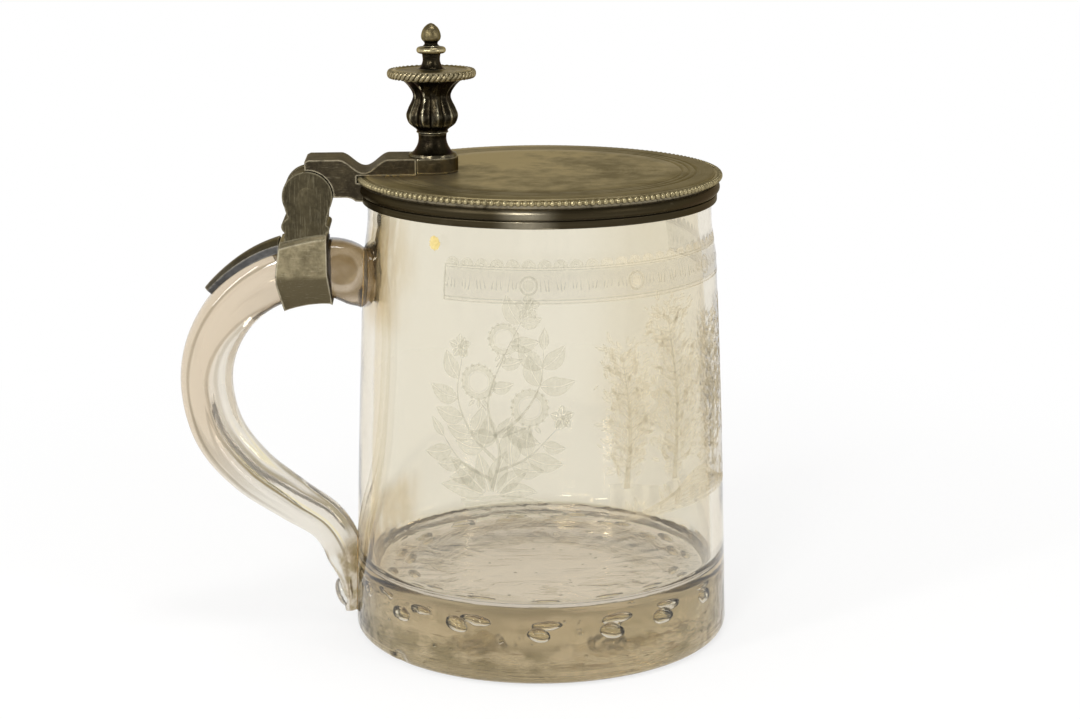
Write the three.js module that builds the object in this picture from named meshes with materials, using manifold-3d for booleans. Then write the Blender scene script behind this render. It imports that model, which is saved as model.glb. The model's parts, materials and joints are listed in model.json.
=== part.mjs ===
// A lidded glass tankard: a thick-footed glass mug with an applied glass handle, and a metal lid hinged on a
// collar round the handle. Millimetres, +Z up, origin at the centre of the base. The handle points along -X
// and the hinge pin lies along Y, so that the lid swings up and over towards the handle.
import * as THREE from "three";
import { mergeVertices } from "three/addons/utils/BufferGeometryUtils.js";
import Module from "manifold-3d";

const wasm = await Module();
wasm.setup();

// Clearances and roundness
const SEAT_GAP = 0.3; // between pieces that are fused, bedded or run on each other
const ROUND_SIDES = 60; // facets round the mug and the lid
const TURNED_SIDES = 24; // facets round the thumb-piece and the hinge

// Glass mug
const BODY_HEIGHT = 121.7;
const FOOT_RADIUS = 50.2;
const SHOULDER_RADIUS = 46.5;
const RIM_RADIUS = 44.9;
const BODY_SWELL = 0.3; // how far the side bows out of a straight taper
const SHOULDER_DROP = 23.7; // from the rim down to where the side turns in
const NECK_LENGTH = 15; // height over which it turns in
const WALL = 3.5;
const FLOOR_THICKNESS = 19;
const FLOOR_FILLET = 6;
const FOOT_ROUND = 2.5;

// Glass handle, measured on its centre line
const HANDLE_REACH = 40.4; // from the mug's side out to the bow
const HANDLE_TOP_DROP = 23.9; // from the rim down to the top of the bow
const HANDLE_LOW = 4; // height of the lower end
const HANDLE_STEPS = 40;
const ROOT_THICKNESS = 17; // in the plane of the handle
const BOW_THICKNESS = 13.8;
const TAIL_THICKNESS = 9.6;
const ROOT_WIDTH = 12.6; // across the handle
const BOW_WIDTH = 12.4;
const TAIL_WIDTH = 10.4;
const GROOVE_DEPTH = 2.2; // of the groove pressed along each flank
const GROOVE_START_SHARE = 0.34; // shares of the handle's length between which it runs
const GROOVE_END_SHARE = 0.94;

// Lid
const PLATE_THICKNESS = 1.6;
const SKIRT_DEPTH = 7.5; // from the lid's top to the skirt's lower edge
const SKIRT_PLAY = 0.4; // between the mug's rim and the skirt
const SKIRT_WALL = 0.5;
const LIP_HEIGHT = 1.9;
const LIP_WIDTH = 0.5; // how far the skirt's lower lip stands out
const MOULDING_HEIGHT = 2.7;
const MOULDING_WIDTH = 0.9;
const BEAD_RADIUS = 0.8;
const REED_RADII = [37.2, 39, 40.8]; // turned lines in the top
const REED_WIDTH = 0.7;
const REED_DEPTH = 0.25;

// Hinge
const HINGE_REACH = 15.2; // from the mug's rim out to the pin
const HINGE_DROP = 5.4; // from the lid's top down to the pin
const HINGE_WIDTH = 14;
const EAR_RADIUS = 6.5;
const EAR_THICKNESS = 3.1;
const EAR_CHAMFER = 0.5;
const PIN_RADIUS = 1.6;
const PIN_HEAD_RADIUS = 2.45;
const PIN_HEAD_HEIGHT = 0.4;
const HEEL_BULGE = 1.9; // the scroll behind the neck
const TOE_BULGE = 0.8; // the small scroll before it
const NECK_DEPTH = 16; // from the pin down into the collar's saddle

// Arm on the lid
const ROOF_OVERHANG = 0.5; // past the pin's axis
const DIP_DEPTH = 3.4;
const DIP_LENGTH = 12.8;
const DIP_INSET = 2.3; // from the bead wire's outer edge in to the middle of the dip
const WEB_DEPTH = 6.7; // from the lid's top down to the web's lowest point
const WEB_LEAD = 2.7; // how far outside the lid's edge the web starts to turn down
const WEB_LAP = 1; // how far it reaches in past the lid's edge before it is cut to the rim

// Collar and strap on the handle
const COLLAR_LENGTH = 13.5;
const COLLAR_SHIFT = -2.15; // from the pin's axis to the middle of the collar
const COLLAR_WALL = 0.7;
const PACKING = 0.4;
const PACKING_SHOW = 0.8; // how far the packing shows past the collar
const STRAP_LENGTH = 15.4;
const STRAP_WALL = 2.1;
const STRAP_TIP_WALL = 1.9;
const STRAP_SIDE = 3.2; // how far its edges come down the sides of the handle
const STRAP_WIDTH = 11.2;
const STRAP_TIP_WIDTH = 4;
const STRAP_CREST = 0.5; // width of its top as a share of its width
const STRAP_LEAD = 4; // how far it starts inside the collar before it is cut off flush

// Thumb-piece
const THUMB_INSET = 17.2; // from the mug's rim in to its axis
const BLOCK_RADIUS = 6.6;
const BLOCK_LENGTH = 4.3; // from its axis back to the arm
const BLOCK_HEIGHT = 4.1; // the arm's top is level with it
const FOOT_HEIGHT = 5.8;
const STEM_RADIUS = 3.7;
const VASE_HEIGHT = 14.3;
const VASE_TOP_RADIUS = 8.4;
const VASE_WAIST_RADIUS = 4.9;
const VASE_BULGE_RADIUS = 6.75;
const VASE_LOBES = 10;
const LOBE_DEPTH = 0.09;
const DISC_RADIUS = 10.3;
const DISC_THICKNESS = 2.3;
const ROPE_RADIUS = 0.45; // half the rope edge's radial width
const SPOOL_HEIGHT = 5.8;
const SPOOL_RADIUS = 3.3;
const SPOOL_WAIST_RADIUS = 2.5;
const RING_RADIUS = 3.8;
const FINIAL_HEIGHT = 5.9;
const FINIAL_RADIUS = 2.55;
const FINIAL_NECK_RADIUS = 1.7;
const STUD_RADIUS = 0.8;
const STUD_DEPTH = 3; // into the block
const STUD_RISE = 2.6; // into the finial

// Places that follow from the sizes above
const PLATE_UNDERSIDE = BODY_HEIGHT + SEAT_GAP;
const LID_TOP = PLATE_UNDERSIDE + PLATE_THICKNESS;
const SKIRT_INNER = RIM_RADIUS + SKIRT_PLAY;
const SKIRT_OUTER = SKIRT_INNER + SKIRT_WALL;
const SKIRT_BOTTOM = LID_TOP - SKIRT_DEPTH;
const BEAD_RING_RADIUS = SKIRT_OUTER + SEAT_GAP + BEAD_RADIUS;
const LID_EDGE = BEAD_RING_RADIUS + BEAD_RADIUS;
const HINGE_X = -(RIM_RADIUS + HINGE_REACH);
const HINGE_Z = LID_TOP - HINGE_DROP;
const THUMB_X = -(RIM_RADIUS - THUMB_INSET);
const BLOCK_BACK = THUMB_X - BLOCK_LENGTH;
const BLOCK_TOP = LID_TOP + BLOCK_HEIGHT;
const COLLAR_MIDDLE = HINGE_X + COLLAR_SHIFT;
const COLLAR_OUTER_END = COLLAR_MIDDLE - COLLAR_LENGTH / 2;
const COLLAR_INNER_END = COLLAR_MIDDLE + COLLAR_LENGTH / 2;
const PACKING_GROWTH = SEAT_GAP + PACKING;
const COLLAR_BORE_GROWTH = PACKING_GROWTH + SEAT_GAP;
const COLLAR_GROWTH = COLLAR_BORE_GROWTH + COLLAR_WALL;
const BEYOND = 200; // past every edge of the tankard

const GLASS = new THREE.MeshStandardMaterial({
  color: 0xe5dccb,
  roughness: 0.05,
  transparent: true,
  opacity: 0.35,
});
const SILVER = new THREE.MeshStandardMaterial({
  color: 0x6e6650,
  roughness: 0.4,
  metalness: 1,
});
const DARK_SILVER = new THREE.MeshStandardMaterial({
  color: 0x3c372c,
  roughness: 0.45,
  metalness: 1,
});
const CEMENT = new THREE.MeshStandardMaterial({
  color: 0x2b2621,
  roughness: 0.95,
});

const tankard = new THREE.Group();

function place(name, geometry, material) {
  const mesh = new THREE.Mesh(geometry, material);
  mesh.name = name;
  tankard.add(mesh);
}

const mix = (a, b, t) => a + (b - a) * t;
const ease = (t) => t * t * (3 - 2 * t);
const clamp = (t) => Math.min(Math.max(t, 0), 1);

// Solids and booleans

function solid(geometry) {
  const bare = geometry.index ? geometry.toNonIndexed() : geometry.clone();
  bare.deleteAttribute("normal");
  bare.deleteAttribute("uv");
  const merged = mergeVertices(bare, 1e-3);
  return new wasm.Manifold(
    new wasm.Mesh({
      numProp: 3,
      vertProperties: merged.attributes.position.array,
      triVerts: new Uint32Array(merged.index.array),
    }),
  );
}

function geometryOf(body) {
  const mesh = body.getMesh();
  return new THREE.BufferGeometry()
    .setAttribute("position", new THREE.BufferAttribute(mesh.vertProperties, 3))
    .setIndex(new THREE.BufferAttribute(mesh.triVerts, 1));
}

// Turns a profile of [radius, height] points round the Z axis. A profile that stands off the axis is closed
// into a ring.
function turned(profile, sides = TURNED_SIDES) {
  const points = profile.map(([r, z]) => new THREE.Vector2(r, z));
  const ring = profile[0][0] > 0 && profile.at(-1)[0] > 0;
  if (ring) points.push(points[0].clone());
  if (THREE.ShapeUtils.area(points) < 0) points.reverse();
  return new THREE.LatheGeometry(points, sides).rotateX(Math.PI / 2);
}

// Extrudes a shape drawn in X and Z across the width, centred on the plane of the handle.
function acrossWidth(shape, width, curveSegments = 8) {
  const options = { depth: width, bevelEnabled: false, curveSegments };
  return new THREE.ExtrudeGeometry(shape, options)
    .rotateX(Math.PI / 2)
    .translate(0, width / 2, 0);
}

// A disc or rod on the hinge's axis, between two places along Y.
function onHinge(radius, from, to) {
  return new THREE.CylinderGeometry(radius, radius, to - from, TURNED_SIDES)
    .translate(0, (from + to) / 2, 0)
    .translate(HINGE_X, 0, HINGE_Z);
}

function boxBetween(low, high) {
  const size = high.map((v, i) => v - low[i]);
  const middle = high.map((v, i) => (v + low[i]) / 2);
  return new THREE.BoxGeometry(...size).translate(...middle);
}

// Glass mug

function bodyRadius(z) {
  const shoulder = BODY_HEIGHT - SHOULDER_DROP;
  if (z < shoulder) {
    const t = clamp(z / shoulder);
    const swell = BODY_SWELL * Math.sin(Math.PI * t);
    return mix(FOOT_RADIUS, SHOULDER_RADIUS, t) + swell;
  }
  return mix(SHOULDER_RADIUS, RIM_RADIUS, ease(clamp((z - shoulder) / NECK_LENGTH)));
}

function arcPoints(r, z, radius, from, to, steps) {
  return Array.from({ length: steps + 1 }, (_, i) => {
    const a = mix(from, to, i / steps) * Math.PI;
    return [r + radius * Math.cos(a), z + radius * Math.sin(a)];
  });
}

function bodyHeights() {
  const shoulder = BODY_HEIGHT - SHOULDER_DROP;
  const taper = [0.3, 0.65, 1].map((t) => mix(FOOT_ROUND, shoulder, t));
  const turn = [0.3, 0.65, 1].map((t) => shoulder + NECK_LENGTH * t);
  return [...taper, ...turn];
}

function glassBody() {
  const floor = FLOOR_THICKNESS + FLOOR_FILLET;
  const rim = WALL / 2;
  const inner = bodyHeights().filter((z) => z > floor).reverse();
  const profile = [
    [0, 0],
    ...arcPoints(bodyRadius(FOOT_ROUND) - FOOT_ROUND, FOOT_ROUND, FOOT_ROUND, -0.5, 0, 3),
    ...bodyHeights().map((z) => [bodyRadius(z), z]),
    ...arcPoints(RIM_RADIUS - rim, BODY_HEIGHT - rim, rim, 0, 1, 4),
    ...inner.map((z) => [bodyRadius(z) - WALL, z]),
    ...arcPoints(bodyRadius(floor) - WALL - FLOOR_FILLET, floor, FLOOR_FILLET, 0, -0.5, 3),
    [0, FLOOR_THICKNESS],
  ];
  return turned(profile, ROUND_SIDES);
}

// The mug's outside as a full solid, grown by the gap that the applied handle keeps.
function bodyEnvelope() {
  const heights = [0, ...bodyHeights(), BODY_HEIGHT];
  const side = heights.map((z) => [bodyRadius(z) + SEAT_GAP, z]);
  side[0][1] = -SEAT_GAP;
  return solid(turned([[0, -SEAT_GAP], ...side, [0, BODY_HEIGHT]], ROUND_SIDES));
}

// Glass handle: a centre line as shares of its reach and of its height, from inside the upper root to the tail.
const HANDLE_LINE = [
  [-0.06, 0.94],
  [0.16, 1.003],
  [0.4, 1],
  [0.63, 0.966],
  [0.84, 0.892],
  [0.973, 0.785],
  [1, 0.67],
  [0.912, 0.533],
  [0.709, 0.423],
  [0.431, 0.333],
  [0.198, 0.262],
  [0.09, 0.18],
  [0.03, 0],
];

// Its thickness and width at shares of its length.
const HANDLE_SIZES = [
  { at: 0, thickness: 0.72 * ROOT_THICKNESS, width: ROOT_WIDTH },
  { at: 0.05, thickness: ROOT_THICKNESS, width: ROOT_WIDTH },
  { at: 0.075, thickness: 0.86 * ROOT_THICKNESS, width: ROOT_WIDTH },
  { at: 0.15, thickness: 0.86 * ROOT_THICKNESS, width: ROOT_WIDTH },
  { at: 0.28, thickness: BOW_THICKNESS, width: BOW_WIDTH },
  { at: 0.52, thickness: BOW_THICKNESS, width: BOW_WIDTH },
  { at: 0.88, thickness: 1.1 * TAIL_THICKNESS, width: 1.08 * TAIL_WIDTH },
  { at: 0.96, thickness: TAIL_THICKNESS, width: TAIL_WIDTH },
  { at: 1, thickness: 0.6 * TAIL_THICKNESS, width: 0.6 * TAIL_WIDTH },
];

// Cross-sections as shares of the half width and the half thickness, the outer side of the bow first. A third
// number is the share of the groove's depth by which that corner is pressed in.
const HANDLE_SECTION = [
  [0.5, 1],
  [0.87, 0.8],
  [1, 0.45],
  [1, 0.15],
  [1, -0.02, 1],
  [0.96, -0.16, 0.1],
  [0.64, -0.75],
  [0.32, -1],
];
const COLLAR_SECTION = [
  [0.8, 1.07],
  [1, 0.91],
  [1, -0.05],
  [0.46, -1],
];

const handleCurve = new THREE.CatmullRomCurve3(
  HANDLE_LINE.map(([out, up]) => {
    const z = mix(HANDLE_LOW, BODY_HEIGHT - HANDLE_TOP_DROP, up);
    return new THREE.Vector3(-(bodyRadius(z) + out * HANDLE_REACH), 0, z);
  }),
);

function handleSize(u) {
  const next = HANDLE_SIZES.findIndex((s, i) => i > 0 && u <= s.at);
  const a = HANDLE_SIZES[next - 1];
  const b = HANDLE_SIZES[next];
  const t = ease((u - a.at) / (b.at - a.at));
  return {
    half: mix(a.thickness, b.thickness, t) / 2,
    side: mix(a.width, b.width, t) / 2,
  };
}

// How deep the flank's groove is at a share of the handle's length.
function grooveDepth(u) {
  const along = clamp((u - GROOVE_START_SHARE) / (GROOVE_END_SHARE - GROOVE_START_SHARE));
  return GROOVE_DEPTH * Math.sin(Math.PI * along) ** 2;
}

// A point of the handle's centre line with its outward direction, at a share of its length.
function handleFrame(u) {
  const along = handleCurve.getTangentAt(u);
  const out = new THREE.Vector3(along.z, 0, -along.x);
  return { centre: handleCurve.getPointAt(u), out };
}

function handleRing(u, growth, section) {
  const { centre, out } = handleFrame(u);
  const { half, side } = handleSize(u);
  const groove = grooveDepth(u);
  const corner = ([across, outward, pressed = 0]) =>
    centre
      .clone()
      .addScaledVector(out, outward * (half + growth))
      .setY(across * (side + growth - pressed * groove));
  const right = section.map(corner);
  const left = section.map(([across, ...rest]) => corner([-across, ...rest])).reverse();
  return [...right, ...left];
}

// A closed skin through rings that all have the same number of points, with flat ends.
function loft(rings) {
  const count = rings[0].length;
  const last = (rings.length - 1) * count;
  const index = [];
  for (let ring = 0; ring < rings.length - 1; ring++)
    for (let i = 0; i < count; i++) {
      const a = ring * count + i;
      const b = ring * count + ((i + 1) % count);
      index.push(a, b, b + count, a, b + count, a + count);
    }
  for (let i = 1; i < count - 1; i++) {
    index.push(0, i + 1, i);
    index.push(last, last + i, last + i + 1);
  }
  return new THREE.BufferGeometry().setFromPoints(rings.flat()).setIndex(index);
}

function handleEnvelope(growth, section = HANDLE_SECTION) {
  const rings = Array.from({ length: HANDLE_STEPS + 1 }, (_, i) =>
    handleRing(i / HANDLE_STEPS, growth, section),
  );
  return solid(loft(rings));
}

function glassHandle() {
  return geometryOf(handleEnvelope(0).subtract(bodyEnvelope()));
}

// Collar, packing and strap

// The stretch of a solid round the upper half of the handle that lies between two places along X.
function betweenPlanes(body, from, to) {
  const low = [from, -BEYOND, handleCurve.getPointAt(0.5).z];
  return body.intersect(solid(boxBetween(low, [to, BEYOND, BEYOND])));
}

function handleCollar() {
  const sleeve = handleEnvelope(COLLAR_GROWTH, COLLAR_SECTION).subtract(
    handleEnvelope(COLLAR_BORE_GROWTH),
  );
  return geometryOf(betweenPlanes(sleeve, COLLAR_OUTER_END, COLLAR_INNER_END));
}

function collarPacking() {
  const sleeve = handleEnvelope(PACKING_GROWTH).subtract(handleEnvelope(SEAT_GAP));
  return geometryOf(
    betweenPlanes(sleeve, COLLAR_OUTER_END, COLLAR_INNER_END + PACKING_SHOW),
  );
}

// The share of the handle's length at which its centre line passes under the collar's outer end.
function collarShare() {
  let u = 0;
  while (u < 1 && handleCurve.getPointAt(u).x > COLLAR_OUTER_END) u += 0.002;
  return u;
}

function spineStrap() {
  const length = handleCurve.getLength();
  const start = collarShare() - STRAP_LEAD / length;
  const steps = 8;
  const rings = Array.from({ length: steps + 1 }, (_, i) => {
    const t = i / steps;
    const u = start + (t * (STRAP_LENGTH + STRAP_LEAD)) / length;
    const { centre, out } = handleFrame(u);
    const top = handleSize(u).half + SEAT_GAP + mix(STRAP_WALL, STRAP_TIP_WALL, t);
    const side = mix(STRAP_WIDTH, STRAP_TIP_WIDTH, t) / 2;
    const drop = mix(STRAP_SIDE, STRAP_WALL, t);
    const corner = (y, outward) => centre.clone().addScaledVector(out, outward).setY(y);
    return [
      corner(STRAP_CREST * side, top),
      corner(side, top - drop / 3),
      corner(side, top - drop),
      corner(-side, top - drop),
      corner(-side, top - drop / 3),
      corner(-STRAP_CREST * side, top),
    ];
  });
  const strap = solid(loft(rings)).subtract(handleEnvelope(SEAT_GAP));
  return geometryOf(betweenPlanes(strap, -BEYOND, COLLAR_OUTER_END - SEAT_GAP));
}

// Hinge

function earDisc(from, to) {
  const profile = [
    [0, from],
    [EAR_RADIUS - EAR_CHAMFER, from],
    [EAR_RADIUS, from + EAR_CHAMFER],
    [EAR_RADIUS, to - EAR_CHAMFER],
    [EAR_RADIUS - EAR_CHAMFER, to],
    [0, to],
  ];
  return turned(profile)
    .rotateX(-Math.PI / 2)
    .translate(HINGE_X, 0, HINGE_Z);
}

function neckShape() {
  const back = 0.96 * EAR_RADIUS;
  const nape = 0.8 * EAR_RADIUS; // drawn in, so that the roof's end clears it when the lid is open
  const front = 0.86 * EAR_RADIUS;
  const waist = 0.72 * EAR_RADIUS;
  const scroll = 1.25 * EAR_RADIUS;
  const shape = new THREE.Shape();
  shape.moveTo(-back, 0);
  shape.lineTo(-nape, -waist);
  shape.quadraticCurveTo(-back - HEEL_BULGE, -waist, -back - HEEL_BULGE, -scroll);
  shape.quadraticCurveTo(-back - HEEL_BULGE, -1.5 * EAR_RADIUS, -back, -1.7 * EAR_RADIUS);
  shape.lineTo(-back, -NECK_DEPTH);
  shape.lineTo(waist, -NECK_DEPTH);
  shape.lineTo(waist, -1.5 * EAR_RADIUS);
  shape.quadraticCurveTo(front + TOE_BULGE, -scroll, waist, -1.05 * EAR_RADIUS);
  shape.lineTo(front, -waist);
  shape.lineTo(back, -0.3 * EAR_RADIUS);
  shape.lineTo(back, 0);
  return shape;
}

function hingeBlock() {
  const half = HINGE_WIDTH / 2;
  const knuckle = half - EAR_THICKNESS;
  const neck = acrossWidth(neckShape(), HINGE_WIDTH, 4).translate(HINGE_X, 0, HINGE_Z);
  const slot = onHinge(EAR_RADIUS + SEAT_GAP, -knuckle, knuckle);
  const bore = onHinge(PIN_RADIUS + SEAT_GAP, -BEYOND, BEYOND);
  const saddle = handleEnvelope(COLLAR_GROWTH + SEAT_GAP, COLLAR_SECTION);
  return geometryOf(
    solid(neck)
      .add(solid(earDisc(-half, half)))
      .subtract(solid(slot))
      .subtract(solid(bore))
      .subtract(saddle),
  );
}

function hingePin() {
  const half = HINGE_WIDTH / 2;
  const profile = [
    [0, -half - PIN_HEAD_HEIGHT],
    [PIN_HEAD_RADIUS, -half - PIN_HEAD_HEIGHT],
    [PIN_HEAD_RADIUS, -half],
    [PIN_RADIUS, -half],
    [PIN_RADIUS, half],
    [PIN_HEAD_RADIUS, half],
    [PIN_HEAD_RADIUS, half + PIN_HEAD_HEIGHT],
    [0, half + PIN_HEAD_HEIGHT],
  ];
  return turned(profile)
    .rotateX(-Math.PI / 2)
    .translate(HINGE_X, 0, HINGE_Z);
}

// Arm, drawn as its side in X and Z

function armShape() {
  const dip = -(LID_EDGE - DIP_INSET);
  const roof = HINGE_X - ROOF_OVERHANG;
  const under = HINGE_Z - SEAT_GAP;
  const web = LID_TOP - WEB_DEPTH;
  const shape = new THREE.Shape();
  shape.moveTo(roof, under);
  shape.lineTo(-(LID_EDGE + WEB_LEAD), under);
  shape.quadraticCurveTo(-(LID_EDGE + WEB_LAP), under, -LID_EDGE, web);
  shape.lineTo(-(LID_EDGE - WEB_LAP), web);
  shape.lineTo(-(LID_EDGE - WEB_LAP), LID_TOP);
  shape.lineTo(BLOCK_BACK, LID_TOP);
  shape.lineTo(BLOCK_BACK, BLOCK_TOP);
  for (let i = 0; i <= 12; i++) {
    const u = 1 - i / 6;
    const depth = DIP_DEPTH * (0.5 + 0.5 * Math.cos(Math.PI * u));
    shape.lineTo(dip + (u * DIP_LENGTH) / 2, BLOCK_TOP - depth);
  }
  shape.lineTo(roof, BLOCK_TOP - ROOF_OVERHANG);
  return shape;
}

function lidArm() {
  const half = HINGE_WIDTH / 2;
  const knuckle = half - EAR_THICKNESS - SEAT_GAP;
  const lidRim = [
    [0, 0],
    [LID_EDGE + SEAT_GAP, 0],
    [LID_EDGE + SEAT_GAP, LID_TOP],
    [0, LID_TOP],
  ];
  return geometryOf(
    solid(acrossWidth(armShape(), HINGE_WIDTH))
      .subtract(solid(onHinge(EAR_RADIUS + SEAT_GAP, -BEYOND, -knuckle)))
      .subtract(solid(onHinge(EAR_RADIUS + SEAT_GAP, knuckle, BEYOND)))
      .add(solid(onHinge(EAR_RADIUS - SEAT_GAP, -knuckle, knuckle)))
      .subtract(solid(onHinge(PIN_RADIUS + SEAT_GAP, -BEYOND, BEYOND)))
      .subtract(solid(turned(lidRim, ROUND_SIDES))),
  );
}

// Lid

function lidPlate() {
  const reeds = REED_RADII.flatMap((r) => [
    [r - REED_WIDTH / 2, LID_TOP],
    [r, LID_TOP - REED_DEPTH],
    [r + REED_WIDTH / 2, LID_TOP],
  ]);
  const profile = [
    [0, PLATE_UNDERSIDE],
    [SKIRT_OUTER, PLATE_UNDERSIDE],
    [SKIRT_OUTER, LID_TOP - REED_DEPTH],
    [SKIRT_OUTER - REED_DEPTH, LID_TOP],
    ...reeds.reverse(),
    [0, LID_TOP],
  ];
  return turned(profile, ROUND_SIDES);
}

function lidSkirt() {
  const lip = SKIRT_BOTTOM + LIP_HEIGHT;
  const profile = [
    [SKIRT_INNER, SKIRT_BOTTOM],
    [SKIRT_OUTER + LIP_WIDTH, SKIRT_BOTTOM],
    [SKIRT_OUTER + LIP_WIDTH, lip],
    [SKIRT_OUTER, lip],
    [SKIRT_OUTER, PLATE_UNDERSIDE],
    [SKIRT_INNER, PLATE_UNDERSIDE],
  ];
  return turned(profile, ROUND_SIDES);
}

function lidMoulding() {
  const inner = SKIRT_OUTER + SEAT_GAP;
  const bottom = SKIRT_BOTTOM + LIP_HEIGHT + SEAT_GAP;
  const bulge = [0, 0.25, 0.5, 0.75, 1].map((t) => [
    inner + MOULDING_WIDTH * Math.sin(Math.PI * mix(0.12, 0.88, t)),
    bottom + MOULDING_HEIGHT * t,
  ]);
  const profile = [[inner, bottom], ...bulge, [inner, bottom + MOULDING_HEIGHT]];
  return turned(profile, ROUND_SIDES);
}

function beadWire() {
  const height = LID_TOP - REED_DEPTH - BEAD_RADIUS;
  const section = arcPoints(BEAD_RING_RADIUS, height, BEAD_RADIUS, 0, 5 / 3, 5);
  return turned(section, ROUND_SIDES);
}

// Thumb-piece: turned pieces stacked on a stud

const FOOT_TOP = BLOCK_TOP + FOOT_HEIGHT;
const VASE_TOP = FOOT_TOP + VASE_HEIGHT;
const DISC_TOP = VASE_TOP + DISC_THICKNESS;
const SPOOL_TOP = DISC_TOP + SPOOL_HEIGHT;
const BORE = STUD_RADIUS + SEAT_GAP;

// Points on a smooth line through a few [radius, height] points.
function smooth(points, steps) {
  const line = new THREE.SplineCurve(points.map(([r, z]) => new THREE.Vector2(r, z)));
  return line.getPoints(steps).map((p) => [p.x, p.y]);
}

// A turned piece bored for the stud, standing on the thumb-piece's axis.
function bored(side) {
  const top = side.at(-1)[1];
  const bottom = side[0][1];
  return turned([[BORE, bottom], ...side, [BORE, top]]).translate(THUMB_X, 0, 0);
}

function thumbBlock() {
  const shape = new THREE.Shape();
  shape.moveTo(-BLOCK_LENGTH, -BLOCK_RADIUS);
  shape.lineTo(0, -BLOCK_RADIUS);
  shape.absarc(0, 0, BLOCK_RADIUS, -Math.PI / 2, Math.PI / 2, false);
  shape.lineTo(-BLOCK_LENGTH, BLOCK_RADIUS);
  const options = { depth: BLOCK_HEIGHT, bevelEnabled: false, curveSegments: TURNED_SIDES / 2 };
  const block = new THREE.ExtrudeGeometry(shape, options).translate(THUMB_X, 0, LID_TOP);
  const floor = BLOCK_TOP - STUD_DEPTH - SEAT_GAP;
  const hole = turned([
    [0, floor],
    [BORE, floor],
    [BORE, BLOCK_TOP + SEAT_GAP],
    [0, BLOCK_TOP + SEAT_GAP],
  ]).translate(THUMB_X, 0, 0);
  return geometryOf(solid(block).subtract(solid(hole)));
}

function thumbFoot() {
  const flare = smooth(
    [
      [0.94 * BLOCK_RADIUS, BLOCK_TOP + 0.05 * FOOT_HEIGHT],
      [0.72 * BLOCK_RADIUS, BLOCK_TOP + 0.2 * FOOT_HEIGHT],
      [STEM_RADIUS, BLOCK_TOP + 0.55 * FOOT_HEIGHT],
      [STEM_RADIUS, FOOT_TOP],
    ],
    6,
  );
  return bored([[0.94 * BLOCK_RADIUS, BLOCK_TOP], ...flare]);
}

function thumbVase() {
  const side = smooth(
    [
      [STEM_RADIUS, FOOT_TOP],
      [0.82 * VASE_BULGE_RADIUS, mix(FOOT_TOP, VASE_TOP, 0.14)],
      [VASE_BULGE_RADIUS, mix(FOOT_TOP, VASE_TOP, 0.33)],
      [VASE_WAIST_RADIUS, mix(FOOT_TOP, VASE_TOP, 0.67)],
      [0.72 * VASE_TOP_RADIUS, mix(FOOT_TOP, VASE_TOP, 0.85)],
      [VASE_TOP_RADIUS, VASE_TOP],
    ],
    10,
  );
  const vase = turned([[BORE, FOOT_TOP], ...side, [BORE, VASE_TOP]], 4 * VASE_LOBES);
  const position = vase.attributes.position;
  for (let i = 0; i < position.count; i++) {
    const x = position.getX(i);
    const y = position.getY(i);
    const up = clamp((position.getZ(i) - FOOT_TOP) / VASE_HEIGHT);
    const lobe = Math.cos(VASE_LOBES * Math.atan2(y, x));
    const outside = Math.hypot(x, y) > STEM_RADIUS - SEAT_GAP;
    const scale = outside ? 1 - LOBE_DEPTH * Math.sin(Math.PI * up) * (0.5 - 0.5 * lobe) : 1;
    position.setXY(i, x * scale, y * scale);
  }
  return vase.translate(THUMB_X, 0, 0);
}

function thumbDisc() {
  const edge = 0.15 * DISC_THICKNESS;
  return bored([
    [0.9 * DISC_RADIUS, VASE_TOP],
    [DISC_RADIUS, VASE_TOP + edge],
    [DISC_RADIUS, DISC_TOP - 2 * edge],
    [0.93 * DISC_RADIUS, DISC_TOP],
    [SPOOL_RADIUS, DISC_TOP],
  ]);
}

function thumbRope() {
  const middle = (VASE_TOP + DISC_TOP) / 2;
  const radius = DISC_RADIUS + SEAT_GAP + ROPE_RADIUS;
  const tall = DISC_THICKNESS / 2;
  const section = arcPoints(0, 0, 1, 0, 5 / 3, 5).map(([a, b]) => [
    radius + ROPE_RADIUS * a,
    middle + tall * b,
  ]);
  return turned(section, 2 * TURNED_SIDES).translate(THUMB_X, 0, 0);
}

function thumbSpool() {
  const at = (t) => mix(DISC_TOP, SPOOL_TOP, t);
  const throat = smooth(
    [
      [SPOOL_RADIUS, at(0)],
      [SPOOL_WAIST_RADIUS, at(0.35)],
      [1.1 * SPOOL_WAIST_RADIUS, at(0.65)],
    ],
    3,
  );
  const ring = [
    [0.92 * RING_RADIUS, at(0.69)],
    [RING_RADIUS, at(0.76)],
    [RING_RADIUS, at(0.9)],
    [0.9 * RING_RADIUS, at(0.98)],
    [1.2 * FINIAL_NECK_RADIUS, at(1)],
  ];
  return bored([...throat, ...ring]);
}

function thumbFinial() {
  const at = (t) => SPOOL_TOP + FINIAL_HEIGHT * t;
  const side = smooth(
    [
      [1.2 * FINIAL_NECK_RADIUS, at(0)],
      [FINIAL_NECK_RADIUS, at(0.1)],
      [0.9 * FINIAL_RADIUS, at(0.27)],
      [FINIAL_RADIUS, at(0.42)],
      [0.9 * FINIAL_RADIUS, at(0.64)],
      [0.55 * FINIAL_RADIUS, at(0.88)],
      [0, at(1)],
    ],
    9,
  );
  const hole = SPOOL_TOP + STUD_RISE + SEAT_GAP;
  const profile = [[0, hole], [BORE, hole], [BORE, SPOOL_TOP], ...side];
  return turned(profile).translate(THUMB_X, 0, 0);
}

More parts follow.
